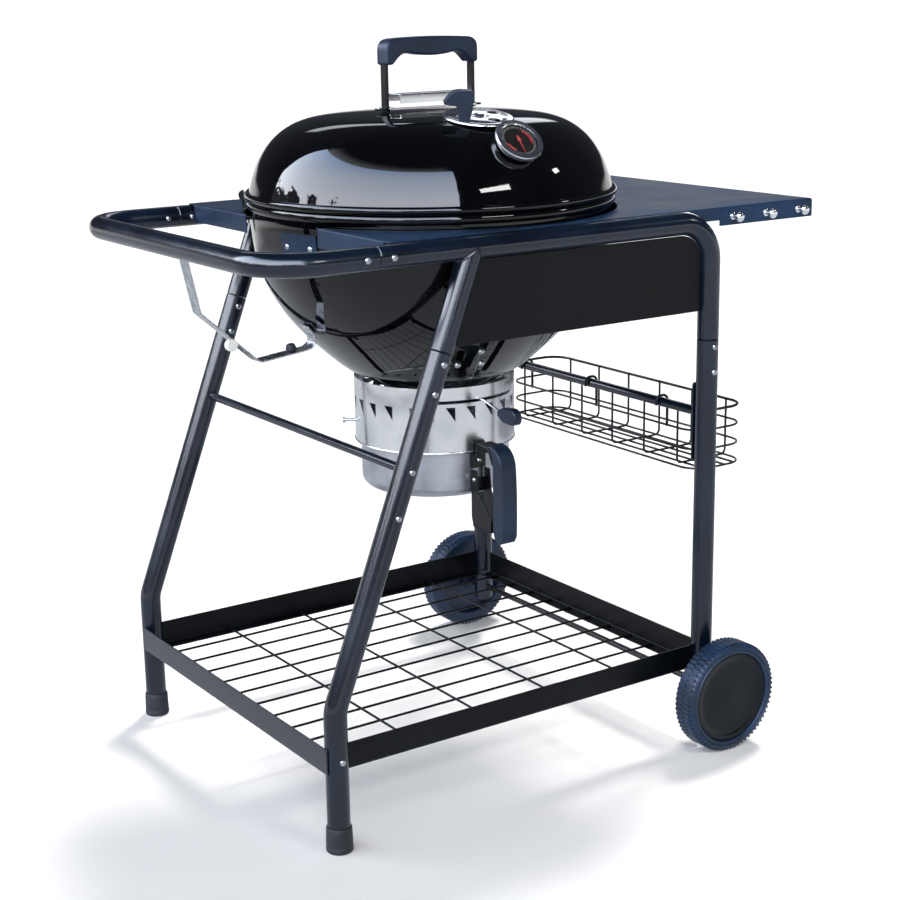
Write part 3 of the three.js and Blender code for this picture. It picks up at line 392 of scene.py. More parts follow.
def piece(name, shape, finish, body, nodes=(), matrix=cartFrame, sharp=35, bevel=0, cutters=()):
    # Bakes the place into the mesh, cuts it, eases its edges and hangs it on its body.
    material, slot = finish
    made = plainObject(name, shape, material, matrix)
    if cutters:
        carve(made, cutters, matrix)
    made.data.shade_smooth()
    if bevel:
        edge = made.modifiers.new("Bevel", "BEVEL")
        edge.width = bevel * mm
        edge.segments = 3 if bevel > 1 else 2
        edge.limit_method = "ANGLE"
        edge.angle_limit = math.radians(32)
        edge.harden_normals = True
    else:
        made.data.set_sharp_from_angle(angle=math.radians(sharp))
    return hang(made, body, nodes)


# ---- geometry node trees

def newTree(name, inputs):
    tree = bpy.data.node_groups.new(name, "GeometryNodeTree")
    tree.interface.new_socket("Geometry", in_out="INPUT", socket_type="NodeSocketGeometry")
    for label, kind in inputs.items():
        tree.interface.new_socket(label, in_out="INPUT", socket_type="NodeSocket" + kind)
    tree.interface.new_socket("Geometry", in_out="OUTPUT", socket_type="NodeSocketGeometry")
    return tree, tree.nodes.new("NodeGroupInput").outputs


def endTree(tree, geometry, material):
    real = addNode(tree, "GeometryNodeRealizeInstances", None, {"Geometry": geometry})
    done = addNode(tree, "GeometryNodeSetMaterial", None, {"Geometry": real.outputs[0], "Material": material})
    addNode(tree, "NodeGroupOutput", None, {"Geometry": done.outputs[0]})
    return tree


def makePipeTree():
    # A round section carried along every chain of edges, as thick as each point's girth.
    tree, given = newTree("pipeAlongEdges", {"Sides": "Int", "Material": "Material"})
    curve = addNode(tree, "GeometryNodeMeshToCurve", None, {"Mesh": given["Geometry"]})
    section = addNode(tree, "GeometryNodeCurvePrimitiveCircle", None, {
        "Resolution": given["Sides"], "Radius": 1.0})
    girth = addNode(tree, "GeometryNodeInputNamedAttribute", {"data_type": "FLOAT"}, {"Name": "girth"})
    pipe = addNode(tree, "GeometryNodeCurveToMesh", None, {
        "Curve": curve.outputs[0], "Profile Curve": section.outputs[0], "Scale": girth.outputs[0],
        "Fill Caps": True})
    return endTree(tree, pipe.outputs[0], given["Material"])


def makeHeadTree():
    # One head on every point, facing the way the point does, with its slot at a chance angle.
    tree, given = newTree("headsOnPoints", {"Head": "Object", "Seed": "Int", "Material": "Material"})
    head = addNode(tree, "GeometryNodeObjectInfo", None, {"Object": given["Head"]})
    facing = addNode(tree, "GeometryNodeInputNamedAttribute", {"data_type": "FLOAT_VECTOR"}, {"Name": "facing"})
    size = addNode(tree, "GeometryNodeInputNamedAttribute", {"data_type": "FLOAT"}, {"Name": "size"})
    aim = addNode(tree, "FunctionNodeAlignRotationToVector", {"axis": "Z"}, {"Vector": facing.outputs[0]})
    chance = addNode(tree, "FunctionNodeRandomValue", {"data_type": "FLOAT"}, {
        2: 0.0, 3: 2 * math.pi, "Seed": given["Seed"]})
    spin = addNode(tree, "FunctionNodeAxisAngleToRotation", None, {
        "Axis": (0, 0, 1), "Angle": chance.outputs[1]})
    both = addNode(tree, "FunctionNodeRotateRotation", {"rotation_space": "LOCAL"}, {
        "Rotation": aim.outputs[0], "Rotate By": spin.outputs[0]})
    placed = addNode(tree, "GeometryNodeInstanceOnPoints", None, {
        "Points": given["Geometry"], "Instance": head.outputs["Geometry"],
        "Rotation": both.outputs[0], "Scale": size.outputs[0]})
    return endTree(tree, placed.outputs[0], given["Material"])


def makeRingTree():
    # Copies of the shape turned round Z by an even step.
    tree, given = newTree("copiesRoundAxis", {
        "Count": "Int", "Step": "Float", "Matrix Turn": "Float", "Material": "Material"})
    points = addNode(tree, "GeometryNodePoints", None, {"Count": given["Count"]})
    index = addNode(tree, "GeometryNodeInputIndex")
    angle = addNode(tree, "ShaderNodeMath", {"operation": "MULTIPLY_ADD"}, {
        0: index.outputs[0], 1: given["Step"], 2: given["Matrix Turn"]})
    spin = addNode(tree, "FunctionNodeAxisAngleToRotation", None, {
        "Axis": (0, 0, 1), "Angle": angle.outputs[0]})
    placed = addNode(tree, "GeometryNodeInstanceOnPoints", None, {
        "Points": points.outputs[0], "Instance": given["Geometry"], "Rotation": spin.outputs[0]})
    return endTree(tree, placed.outputs[0], given["Material"])


pipeTree, headTree, ringTree = makePipeTree(), makeHeadTree(), makeRingTree()


def grow(tree, name, mesh, values, place=Matrix()):
    # Runs a tree on a mesh and keeps the result, moved to its place, as a plain mesh.
    made = bpy.data.objects.new(name, mesh)
    scene.collection.objects.link(made)
    modifier = made.modifiers.new("Nodes", "NODES")
    modifier.node_group = tree
    for label, value in values.items():
        modifier[tree.interface.items_tree[label].identifier] = value
    settle(made)
    made.data.transform(place)
    made.data.shade_smooth()
    made.data.set_sharp_from_angle(angle=math.radians(38))
    return made


def pipes(name, lines, finish, body, nodes=(), matrix=cartFrame, sides=16):
    # Round tubes or wires, each a line of points and a radius, with True after them for a closed loop.
    material, slot = finish
    verts, edges, girths = [], [], []
    for points, radius, *closed in lines:
        points = [Vector(p) for p in points]
        girth = [radius] * len(points)
        if not closed:  # the cut ends are a little eased
            ease = min(1.2, radius * 0.3)
            first = (points[1] - points[0]).normalized() * ease
            last = (points[-2] - points[-1]).normalized() * ease
            points = [points[0], points[0] + first, *points[1:-1], points[-1] + last, points[-1]]
            girth = [radius - ease, radius, *girth[1:-1], radius, radius - ease]
        base = len(verts)
        verts += [matrix @ p for p in points]
        edges += [(base + i, base + i + 1) for i in range(len(points) - 1)]
        if closed:
            edges.append((base + len(points) - 1, base))
        girths += [g * mm for g in girth]
    mesh = bpy.data.meshes.new(name)
    mesh.from_pydata(verts, edges, [])
    mesh.attributes.new("girth", "FLOAT", "POINT").data.foreach_set("value", girths)
    made = grow(pipeTree, name, mesh, {"Sides": sides, "Material": material})
    return hang(made, body, nodes)


def ring(name, shape, count, finish, body, matrix, start=0.0, nodes=()):
    # A shape repeated evenly round the Z axis of its place.
    material, slot = finish
    mesh = bpy.data.meshes.new(name)
    mesh.from_pydata(shape.verts, [], shape.faces)
    made = grow(ringTree, name, mesh, {
        "Count": count, "Step": 2 * math.pi / count, "Matrix Turn": start, "Material": material}, matrix)
    return hang(made, body, nodes)


def heads(name, template, spots, finish, body, matrix=cartFrame, seed=1):
    # Screw heads at (point, facing, size) spots.
    material, slot = finish
    mesh = bpy.data.meshes.new(name)
    mesh.from_pydata([matrix @ Vector(point) for point, facing, size in spots], [], [])
    rotation = matrix.to_3x3().normalized()
    facings = [value for point, facing, size in spots for value in rotation @ Vector(facing)]
    mesh.attributes.new("facing", "FLOAT_VECTOR", "POINT").data.foreach_set("vector", facings)
    mesh.attributes.new("size", "FLOAT", "POINT").data.foreach_set("value", [s[2] for s in spots])
    made = grow(headTree, name, mesh, {"Head": template, "Seed": seed, "Material": material})
    return hang(made, body, ())


black = (wireCoat, "black_steel")
coated = (powderCoat, "powder_coat")
panelCoat = (blackCoat, "powder_coat")
tableCoat = (sheetCoat, "table_coat")
steel = (stainless, "stainless")
zinc = (plated, "plated_steel")
glaze = (enamel, "enamel")
handlePlastic = (bluePlastic, "blue_plastic")

metre = Matrix.Scale(mm, 4)


def screwTemplate(name, radius, height, recess):
    # A pan head with a cross recess, or with none a plain dome nut.
    dome = [(0, height)]
    dome += [(radius * math.sin(a), height * math.cos(a) ** 0.7) for a in (0.35, 0.7, 1.0, 1.25)]
    dome += [(radius, height * 0.3), (radius, -0.6), (0, -0.6)]
    made = plainObject(name, Shape().add(lathe(dome, 20)), None, metre)
    if recess:
        long, thin = radius * 0.55, radius * 0.13
        bars = [Shape().add(block((-long, -thin, height * 0.45), (long, thin, height * 2))),
                Shape().add(block((-thin, -long, height * 0.45), (thin, long, height * 2)))]
        carve(made, bars, metre)
    return made


screwHead = screwTemplate("screwHead", 4.6, 2.6, True)
domeNut = screwTemplate("domeNut", 5, 4.5, False)
print("node trees made")

# ---- cart frame

cart = {
    "rail": 826, "tube": 16.5, "handleBend": 75, "joint": 84, "rearBend": 58, "rearLeg": 672, "rearSeam": 648,
    "rearEnd": 66, "legTop": 238, "knee": 210, "kneeBend": 60, "seam": 688, "crossbar": 531, "crossbarTube": 6.5,
    "weld": 2.2,
}
slope = cart["legTop"] / (cart["rail"] - cart["knee"])
handleX = (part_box("handle_tube")[0].x - footMiddle.x) / mm + cart["tube"]
sides = [("front", 0, -1), ("back", backY, 1)]


def legX(z):
    return (z - cart["knee"]) * slope


def weldLoop(y):
    # Where the stub of a front leg meets the underside of its rail.
    tilt = math.atan(slope)
    top = Vector((legX(cart["rail"]), y, cart["rail"]))
    along = Vector((math.sin(tilt), 0, math.cos(tilt)))
    across = Vector((math.cos(tilt), 0, -math.sin(tilt)))
    line = []
    for k in range(40):
        phi = 2 * math.pi * k / 40
        reach = cart["tube"] * (abs(math.cos(phi)) - math.cos(phi) * math.sin(tilt)) / math.cos(tilt)
        line.append(top - along * reach + cart["tube"] * (across * math.cos(phi) + Vector((0, math.sin(phi), 0))))
    return line


rail, tube = cart["rail"], cart["tube"]
pipes("handle_tube", [(bent([(cart["joint"] - 0.3, 0, rail), (handleX, 0, rail), (handleX, backY, rail),
                             (cart["joint"] - 0.3, backY, rail)], cart["handleBend"], 18), tube)],
      coated, "cart", ["handle_tube"], sides=40)
for side, y, out in sides:
    railLine = bent([(cart["joint"], y, rail), (cart["rearLeg"], y, rail), (cart["rearLeg"], y, cart["rearSeam"])],
                    cart["rearBend"], 18)
    stub = [(legX(cart["seam"]), y, cart["seam"]), (legX(rail), y, rail)]
    pipes(side + "_rail", [(railLine, tube), (stub, tube)], coated, "cart", [side + "_rail"], sides=40)
    pipes(side + "_rail_weld", [(weldLoop(y), cart["weld"], True)], coated, "cart", sides=8)
    top = cart["seam"] - 0.3
    leg = bent([(0, y, 8.3), (0, y, cart["knee"]), (legX(top), y, top)], cart["kneeBend"], 12)
    pipes(side + "_handle_leg", [(leg, tube)], coated, "cart", [side + "_handle_leg"], sides=40)
    pipes(side + "_wheel_leg", [([(cart["rearLeg"], y, cart["rearEnd"]),
                                  (cart["rearLeg"], y, cart["rearSeam"] - 0.3)], tube)],
          coated, "cart", [side + "_wheel_leg"], sides=40)
    plug = Shape().add(lathe([(0, -3.5), (9, -3), (13.5, -1.6), (15.8, 0.2), (15.8, 1.4), (0, 1.4)], 40),
                       move(cart["rearLeg"], y, cart["rearEnd"] - 1))
    piece(side + "_leg_plug", plug, (rubber, "rubber"), "cart")
    cap = [(0, 0), (15.5, 0), (18, 0.5), (19.2, 2), (19.5, 4), (19.2, 9), (18.9, 10), (18.9, 11), (19.1, 12),
           (18.6, 33), (18.2, 36.5), (17.6, 38), (17.1, 38), (17.1, 8), (0, 8)]
    piece(side + "_foot_cap", Shape().add(lathe(cap, 48), move(0, y, 0)), (rubber, "rubber"), "cart",
          [side + "_foot_cap"])
barX = legX(cart["crossbar"])
pipes("crossbar", [([(barX, tube + 0.3, cart["crossbar"]), (barX, backY - tube - 0.3, cart["crossbar"])],
                    cart["crossbarTube"])], coated, "cart", ["crossbar"], sides=24)
print("cart frame made")

# The panel fills the corner under the front rail, its lower edge hemmed.
panel = {"bottom": 692, "top": 809.2, "clear": 17.3, "sheet": 2, "hem": 7}
slant = panel["clear"] * math.hypot(1, slope)
panelRight = cart["rearLeg"] - panel["clear"]
bendX, bendZ = cart["rearLeg"] - cart["rearBend"], cart["rail"] - cart["rearBend"]
panelOutline = [(legX(panel["bottom"]) + slant + 1.5, panel["bottom"]), (panelRight - 1.5, panel["bottom"]),
                (panelRight, panel["bottom"] + 1.5), *arc(bendX, bendZ, panelRight - bendX, 0, 90, 16),
                (legX(panel["top"]) + slant, panel["top"]), (legX(panel["bottom"]) + slant + 0.2, panel["bottom"] + 1)]
panelShape = Shape().add(prism(panelOutline, -panel["sheet"] / 2, panel["sheet"] / 2), upright)
hemBox = block((legX(panel["bottom"]) + slant + 3, 0.6, panel["bottom"]),
               (panelRight - 3, 0.6 + panel["hem"], panel["bottom"] + 1.6))
panelShape.add(hemBox)
piece("front_panel", panelShape, panelCoat, "cart", ["front_panel"], bevel=0.6)


# ---- tabletop

table = {
    "left": 108, "right": 884, "top": 844.8, "sheet": 2, "flange": 28, "flangeFrom": 692, "hole": 283,
    "bend": 3.5, "sideInset": 17.5, "hooks": [717, 785, 853],
}
kettle = {"x": (kettleAxis.x - footMiddle.x) / mm, "y": (kettleAxis.y - footMiddle.y) / mm}


def tableOutline():
    # Corners round the table and whether the edge turns down there.
    front, back = (0, backY)
    left, right, start = table["left"], table["right"], table["flangeFrom"]
    reach = kettle["x"] - left
    half = math.degrees(math.acos(reach / table["hole"]))
    outline = [(left, front, False), (start, front, False), (start, front, True), (right, front, True),
               (right, back, True), (start, back, True), (start, back, False), (left, back, False)]
    notchTop = kettle["y"] + reach * math.tan(math.radians(half))
    notchLow = kettle["y"] - reach * math.tan(math.radians(half))
    outline += [(left, back - table["sideInset"], False), (left, back - table["sideInset"], True),
                (left, notchTop + 3, True), (left, notchTop + 3, False), (left, notchTop, False)]
    round_ = arc(kettle["x"], kettle["y"], table["hole"], 180 - half, -180 + half, 120)
    outline += [(x, y, False) for x, y in round_[1:-1]]
    outline += [(left, notchLow, False), (left, notchLow - 3, False), (left, notchLow - 3, True),
                (left, front + table["sideInset"], True), (left, front + table["sideInset"], False)]
    return outline


def pressedSheet(outline, top, sheet, flange, bend, steps=5):
    # A flat sheet whose edges turn down in a round bend, or are only eased, as the outline says.
    count = len(outline)
    normals = []
    for i, (x, y, turned) in enumerate(outline):
        before = next(outline[(i - k) % count] for k in range(1, count)
                      if math.dist(outline[(i - k) % count][:2], (x, y)) > 0.01)
        after = next(outline[(i + k) % count] for k in range(1, count)
                     if math.dist(outline[(i + k) % count][:2], (x, y)) > 0.01)
        a = Vector((x - before[0], y - before[1])).normalized()
        b = Vector((after[0] - x, after[1] - y)).normalized()
        miter = Vector((-a.y - b.y, a.x + b.x))
        normals.append(miter / max(1 + a.dot(b), 0.2))
    rings = []
    for k in range(-1, steps + 4):
        points = []
        for (x, y, turned), normal in zip(outline, normals):
            size = bend if turned else 0.9
            theta = math.pi / 2 * k / steps
            drop = flange if turned else sheet
            if k == -1:
                inset, z = size + 1, 0
            elif k <= steps:
                inset, z = size * (1 - math.sin(theta)), -size * (1 - math.cos(theta))
            elif k == steps + 1:
                inset, z = 0, -drop
            elif k == steps + 2:
                inset, z = sheet * 0.9, -drop
            else:
                inset, z = (sheet, -sheet - 1.2) if turned else (sheet * 1.4, -sheet)
            points.append((x + normal.x * inset, y + normal.y * inset, top + z))
        rings.append(points)
    rings.append([(x + n.x * (sheet + 2), y + n.y * (sheet + 2), top - sheet)
                  for (x, y, turned), n in zip(outline, normals)])
    verts = [p for ring_ in rings for p in ring_]
    faces = [list(range(count))]
    for r in range(len(rings) - 1):
        for i in range(count):
            j = (i + 1) % count
            faces.append([r * count + i, (r + 1) * count + i, (r + 1) * count + j, r * count + j])
    faces.append([(len(rings) - 1) * count + i for i in range(count)][::-1])
    return verts, faces


tableSheet = pressedSheet(tableOutline(), table["top"], table["sheet"], table["flange"], table["bend"])
piece("tabletop", Shape().add(tableSheet), tableCoat, "cart", ["tabletop"], sharp=40)

# Where the front rail bends down, the table's front edge is notched round it.
edge, notch = [], cart["rearBend"] + cart["tube"] + 1.2
for i in range(13):
    angle = math.radians(90 - i * 3.4)
    edge.append((bendX + notch * math.cos(angle), min(bendZ + notch * math.sin(angle), table["top"] - table["sheet"] - 0.2)))
edge = [p for p in edge if p[0] < table["flangeFrom"] and p[1] < table["top"] - table["sheet"] - 0.3]
notchLip = [*edge, (table["flangeFrom"], edge[-1][1]), (table["flangeFrom"], table["top"] - table["sheet"]),
            (edge[0][0], table["top"] - table["sheet"])]
piece("tabletop_notch_lip", Shape().add(prism(notchLip[::-1], -2.2, -0.2), upright), tableCoat, "cart", (), bevel=0.2)

hookProfile = [(0, -3), (5.2, -3), (5.5, -2.6), (5.5, 1.5), (5, 2), (3, 2.4), (2.6, 3.2), (2.6, 11.5), (3.4, 12.6),
               (5.6, 13), (6.8, 14), (7.4, 16), (7.1, 17.8), (6, 19.2), (4, 20.1), (0, 20.4)]
for i, x in enumerate(table["hooks"]):
    hook = Shape().add(lathe(hookProfile, 40), move(x, -0.3, table["top"] - table["flange"] / 2 - 1) @ turn(90, "X"))
    piece("tool_hook_" + str(i + 1), hook, steel, "cart", ["tool_hook_" + str(i + 1)])
print("tabletop made")

# ---- bottom shelf

shelf = {"top": 158, "low": 118, "lip": 22, "sheet": 2, "wire": 1.9, "longWires": 10,
         "crossWires": [135, 270, 404, 539], "clear": 17.2}


def beamProfile(turnIn):
    # An angle section: the web's middle at 0, the lip turned to one side at the bottom.
    half = shelf["sheet"] / 2
    return ribbon([(0, shelf["top"]), (0, shelf["low"] + half), (turnIn * (shelf["lip"] - half), shelf["low"] + half)],
                  shelf["sheet"], 3.2, 6)


alongX = Matrix(((0, 0, 1, 0), (1, 0, 0, 0), (0, 1, 0, 0), (0, 0, 0, 1)))  # outline in (y, z), extruded along x
alongY = upright  # outline in (x, z), extruded along -y
for side, y, out in sides:
    beam = Shape().add(prism(beamProfile(-out), shelf["clear"], cart["rearLeg"] - shelf["clear"]),
                       move(0, y, 0) @ alongX)
    piece("shelf_beam_" + side, beam, panelCoat, "cart", ["shelf_beam_" + side], bevel=0.4)
leftWeb = -shelf["clear"] - shelf["sheet"] / 2
leftBeam = Shape().add(prism(beamProfile(1), -(backY - 8), 5), move(leftWeb, 0, 0) @ alongY)
piece("shelf_beam_left", leftBeam, coated, "cart", ["shelf_beam_left"], bevel=0.4)
rightBeam = Shape().add(prism(beamProfile(-1), -(backY - 23), -23), move(cart["rearLeg"], 0, 0) @ alongY)
piece("shelf_beam_right", rightBeam, panelCoat, "cart", ["shelf_beam_right"], bevel=0.4)

gridZ = shelf["low"] + shelf["sheet"] + 0.2 + shelf["wire"]
gridWires = []
for i in range(1, shelf["longWires"] + 1):
    y = i * backY / (shelf["longWires"] + 1)
    gridWires.append(([(-14, y, gridZ), (330, y, gridZ), (cart["rearLeg"] - 5, y, gridZ)], shelf["wire"]))
for x in shelf["crossWires"]:
    z = gridZ + 1.7 * shelf["wire"]
    gridWires.append(([(x, 6, z), (x, backY / 2, z), (x, backY - 6, z)], shelf["wire"]))
pipes("shelf_grid", gridWires, panelCoat, "cart", ["shelf_grid"], sides=10)
print("shelf made")

# ---- wheels

wheel = {"radius": 88, "width": 40, "standOff": 36, "ribs": 66}
axleProfile = [(0, -63), (4, -63), (5, -62), (5, -35.7), (8, -35.7), (8, -16.8), (5, -16.8), (5, backY + 16.8),
               (8, backY + 16.8), (8, backY + 35.7), (5, backY + 35.7), (5, backY + 62), (4, backY + 63),
               (0, backY + 63)]
piece("axle", Shape().add(lathe(axleProfile, 32), move(cart["rearLeg"], 0, wheel["radius"]) @ turn(-90, "X")),
      black, "cart", ["axle"])
wheelProfile = [
    (5.5, 2), (17, 2), (18, 3), (18, 14), (64, 14), (64, 4), *arc(67, 3, 3, 180, 270, 4), (79.5, 0.3),
    *arc(79.8, 7.3, 7, -80, 0, 8), (87, 20), *arc(78.5, 31.3, 8.5, 0, 80, 8), (79, 39.8), (78, 38.8),
    (76.8, 38.8), (75.8, 39.9), (74.5, 39.8), *arc(74, 37, 2.6, 90, 180, 6)[1:], (71.3, 30.5), (52, 30.5), (52, 20),
    (18, 20), (18, 27), (17, 27.5), (5.5, 27.5), (5.5, 2)]
capProfile = [
    (0, 31.5), (50, 31.5), (51, 30.8), (70.8, 30.8), (71, 34.6), *arc(69.5, 35, 1.5, 0, 90, 4), (66.5, 36.3),
    (64, 35.6), (60.5, 34), (54, 33.2), (38, 33.2), (18, 34.2), (8, 34.9), (0, 35.1)]


def treadRib():
    # One rib of the tread: a low bar across half the rim, wrapped over its shoulder.
    rib = Shape()
    for low, high, lean in ((4.5, 19.2, 0), (20.8, 34.5, math.pi / wheel["ribs"])):
        rib.add(prism([(86, -2.7), (87.7, -2.3), (88, -1.8), (88, 1.8), (87.7, 2.3), (86, 2.7)], low, high),
                turn(math.degrees(lean)))
    lug = prism([(81.5, -1.4), (86.2, -1.4), (86.2, 1.4), (81.5, 1.4)], 32.5, 38.6)
    return rib.add(lug, turn(math.degrees(math.pi / wheel["ribs"])))


ribShape = treadRib()
ribShape.verts = [v * mm for v in ribShape.verts]
for side, y, out in sides:
    place = move(cart["rearLeg"], y + out * wheel["standOff"], wheel["radius"]) @ turn(-90 * out, "X")
    plastic = (wheelPlastic, "wheel_plastic")
    piece(side + "_wheel", Shape().add(lathe(wheelProfile, 128), place), plastic, side + "_wheel",
          [side + "_wheel"])
    place3d = cartFrame @ place @ Matrix.Scale(1 / mm, 4)
    ring(side + "_tread", ribShape, wheel["ribs"], plastic, side + "_wheel", place3d)
    piece(side + "_hub_cap", Shape().add(lathe(capProfile, 96), place), (hubPlastic, "hub_plastic"),
          side + "_wheel", [side + "_hub_cap"])
print("wheels made")

# ---- wire basket

basket = {"left": 697, "right": 806, "front": 52, "back": 548, "bottom": 424, "rings": 4, "step": 31.3,
          "corner": 34, "wire": 1.8, "bar": 7.5, "barX": 686, "uprights": 6, "hooks": [120, 300, 480]}
basketTop = basket["bottom"] + basket["step"] * (basket["rings"] - 1)
barZ = basketTop + 8


def hoop(z):
    # A rectangle with round corners.
    left, right, front, back, corner = (basket[k] for k in ("left", "right", "front", "back", "corner"))
    line = []
    for x, y, start in ((right - corner, back - corner, 0), (left + corner, back - corner, 90),
                        (left + corner, front + corner, 180), (right - corner, front + corner, 270)):
        line += [(px, py, z) for px, py in arc(x, y, corner, start, start + 90, 8)]
    return line


wires = [(hoop(basket["bottom"] + i * basket["step"]), basket["wire"] + (0.5 if i == 3 else 0), True)
         for i in range(basket["rings"])]
inside = basket["wire"] * 1.6
for i in range(basket["uprights"]):
    y = basket["front"] + 44 + (basket["back"] - basket["front"] - 88) * i / (basket["uprights"] - 1)
    x0, x1, low = basket["left"] + inside, basket["right"] - inside, basket["bottom"] + inside
    wires.append((bent([(x0, y, basketTop + 1.8), (x0, y, low), (x1, y, low), (x1, y, basketTop + 1.8)], 9, 5),
                  basket["wire"]))
for i in range(1, 5):
    x = basket["left"] + (basket["right"] - basket["left"]) * i / 5
    reach = 6 if i in (1, 4) else 0
    wires.append(([(x, basket["front"] + reach, basket["bottom"]), (x, backY / 2, basket["bottom"]),
                   (x, basket["back"] - reach, basket["bottom"])], basket["wire"]))
for y in basket["hooks"]:  # these hang the basket on its bar
    inX, outX, high = basket["barX"] + 12.5, basket["barX"] - 10.5, barZ + 10.2
    wires.append((bent([(inX, y, basketTop - 34), (inX, y, high), (outX, y, high), (outX, y, barZ - 5)], 9, 6),
                  basket["wire"] + 0.5))
pipes("wire_basket", wires, black, "basket", ["wire_basket"], sides=10)
pipes("basket_bar", [([(basket["barX"], 20.1, barZ), (basket["barX"], backY - 20.1, barZ)], basket["bar"])],
      coated, "cart", ["basket_bar"], sides=28)
for side, y, out in sides:
    left, right, low, high, r = cart["rearLeg"] - 12, basket["barX"] + 8, barZ - 72, barZ + 52, 5
    outline = (arc(right - r, high - r, r, 0, 90, 5) + arc(left + r, high - r, r, 90, 180, 5)
               + arc(left + r, low + r, r, 180, 270, 5) + arc(right - r, low + r, r, 270, 360, 5))
    near = y - out * (tube + 0.3)
    plate = Shape().add(prism(outline, -1.5, 1.5), move(0, near - out * 1.5, 0) @ upright)
    piece("basket_bracket_" + side, plate, coated, "cart", ["basket_bracket_" + side], bevel=0.5)
print("basket made")

# ---- kettle bowl

rimZ = rimHeight / mm  # the rim's height above the ground
bowlPoints = [(0, 560), (62, 566), (118, 589), (166, 624), (226, 686), (265, 758), (276, 826), (277, 852)]
bowl = {"wall": 1.8, "slots": 3, "slotInner": 32, "slotOuter": 78, "slotAngle": 52, "hub": 6.5,
        "bead": (277.4, -6.9, 4.1, 6.7), "grateZ": 819.8}


def down(z):
    return z - rimZ


bowlCurve = smooth([(r, down(z)) for r, z in bowlPoints], 56)


def radiusAt(curve, z):
    for (r0, z0), (r1, z1) in zip(curve, curve[1:]):
        if min(z0, z1) <= z <= max(z0, z1) and z0 != z1:
            return r0 + (r1 - r0) * (z - z0) / (z1 - z0)
    return curve[-1][0]


def heightAt(curve, r):
    for (r0, z0), (r1, z1) in zip(curve, curve[1:]):
        if min(r0, r1) <= r <= max(r0, r1) and r0 != r1:
            return z0 + (z1 - z0) * (r - r0) / (r1 - r0)
    return curve[-1][1]


def sector(inner, outer, middle, angle, low, high):
    # A slice of a ring about the axis, its angles in degrees.
    outline = arc(0, 0, outer, middle - angle / 2, middle + angle / 2, 14)
    outline += arc(0, 0, inner, middle + angle / 2, middle - angle / 2, 10)
    return prism(outline, low, high)


bowlShape = Shape().add(lathe(bowlCurve + insideOf(bowlCurve, bowl["wall"]), 160))
bowlCuts = [Shape().add(sector(bowl["slotInner"], bowl["slotOuter"], 120 * i, bowl["slotAngle"], down(540), down(600)))
            for i in range(bowl["slots"])]
bowlCuts.append(Shape().add(lathe([(0, down(540)), (bowl["hub"], down(540)), (bowl["hub"], down(600)),
                                   (0, down(600))], 32)))
piece("bowl", bowlShape, glaze, "cart", ["bowl"], potFrame, cutters=bowlCuts)
piece("bowl_bead", Shape().add(lathe(loop(*bowl["bead"], 24), 160)), glaze, "cart", (), potFrame)

restTop = down(bowl["grateZ"]) - 3.8
restWall = radiusAt(bowlCurve, restTop - 10) - 0.9
rests = Shape()
for angle in (30, 150, 270):
    profile = ribbon([(restWall - 1.2, restTop - 14), (restWall - 1.2, restTop - 1.2), (restWall - 16, restTop - 1.2)],
                     2.4, 3, 5)
    rests.add(prism(profile, -11, 11), turn(angle) @ upright)
piece("grate_rests", rests, glaze, "cart", (), potFrame, bevel=0.5)

# Brackets that carry the bowl from the rails, and the lug that keeps the lid in place.
bracket = {"spread": 130, "width": 30, "reach": 47, "low": 818, "high": 838, "sheet": 3}
for side, y, out in sides:
    for place, x in (("left", kettle["x"] - bracket["spread"]), ("right", kettle["x"] + bracket["spread"])):
        half = bracket["sheet"] / 2
        profile = ribbon([(17, bracket["low"] + half), (bracket["reach"] - half, bracket["low"] + half),
                          (bracket["reach"] - half, bracket["high"])], bracket["sheet"], 4, 5)
        made = Shape().add(prism(profile, -bracket["width"] / 2, bracket["width"] / 2),
                           move(x, y, 0) @ turn(-90 * out) @ upright)
        piece(side + "_bracket_" + place, made, coated, "cart", [side + "_bracket_" + place], bevel=0.6)
lugProfile = [(283, -15), (288.5, -15), (289, -5), (293, 0), (294, 5), (292.5, 9), (289, 11), (286, 9), (285.8, -12),
              (283, -12)]
piece("rim_lug", Shape().add(prism(lugProfile, -9, 9), turn(146) @ upright), black, "cart", ["rim_lug"], potFrame,
      bevel=1)
# A blue plate on the bowl's left, behind two bolts.
plateLine = [(radiusAt(bowlCurve, down(z)) + 0.6, down(z)) for z in (832, 820, 805, 790, 778)]
plateBack = [(r_ + 2.2, z_) for r_, z_ in plateLine]
bowlPlate = Shape()
for k in range(-4, 4):
    ends = []
    for a in (math.radians(-167 + k * 1.9), math.radians(-167 + (k + 1) * 1.9)):
        ends.append([(r_ * math.cos(a), r_ * math.sin(a), z_) for r_, z_ in plateLine + plateBack[::-1]])
    n = len(ends[0])
    bowlPlate.add((ends[0] + ends[1], [list(range(n))[::-1], list(range(n, 2 * n))]
                   + [[i, (i + 1) % n, n + (i + 1) % n, n + i] for i in range(n)]))
piece("bowl_plate", bowlPlate, tableCoat, "cart", (), potFrame)
print("bowl made")

# ---- ash collar, sweeper and bucket

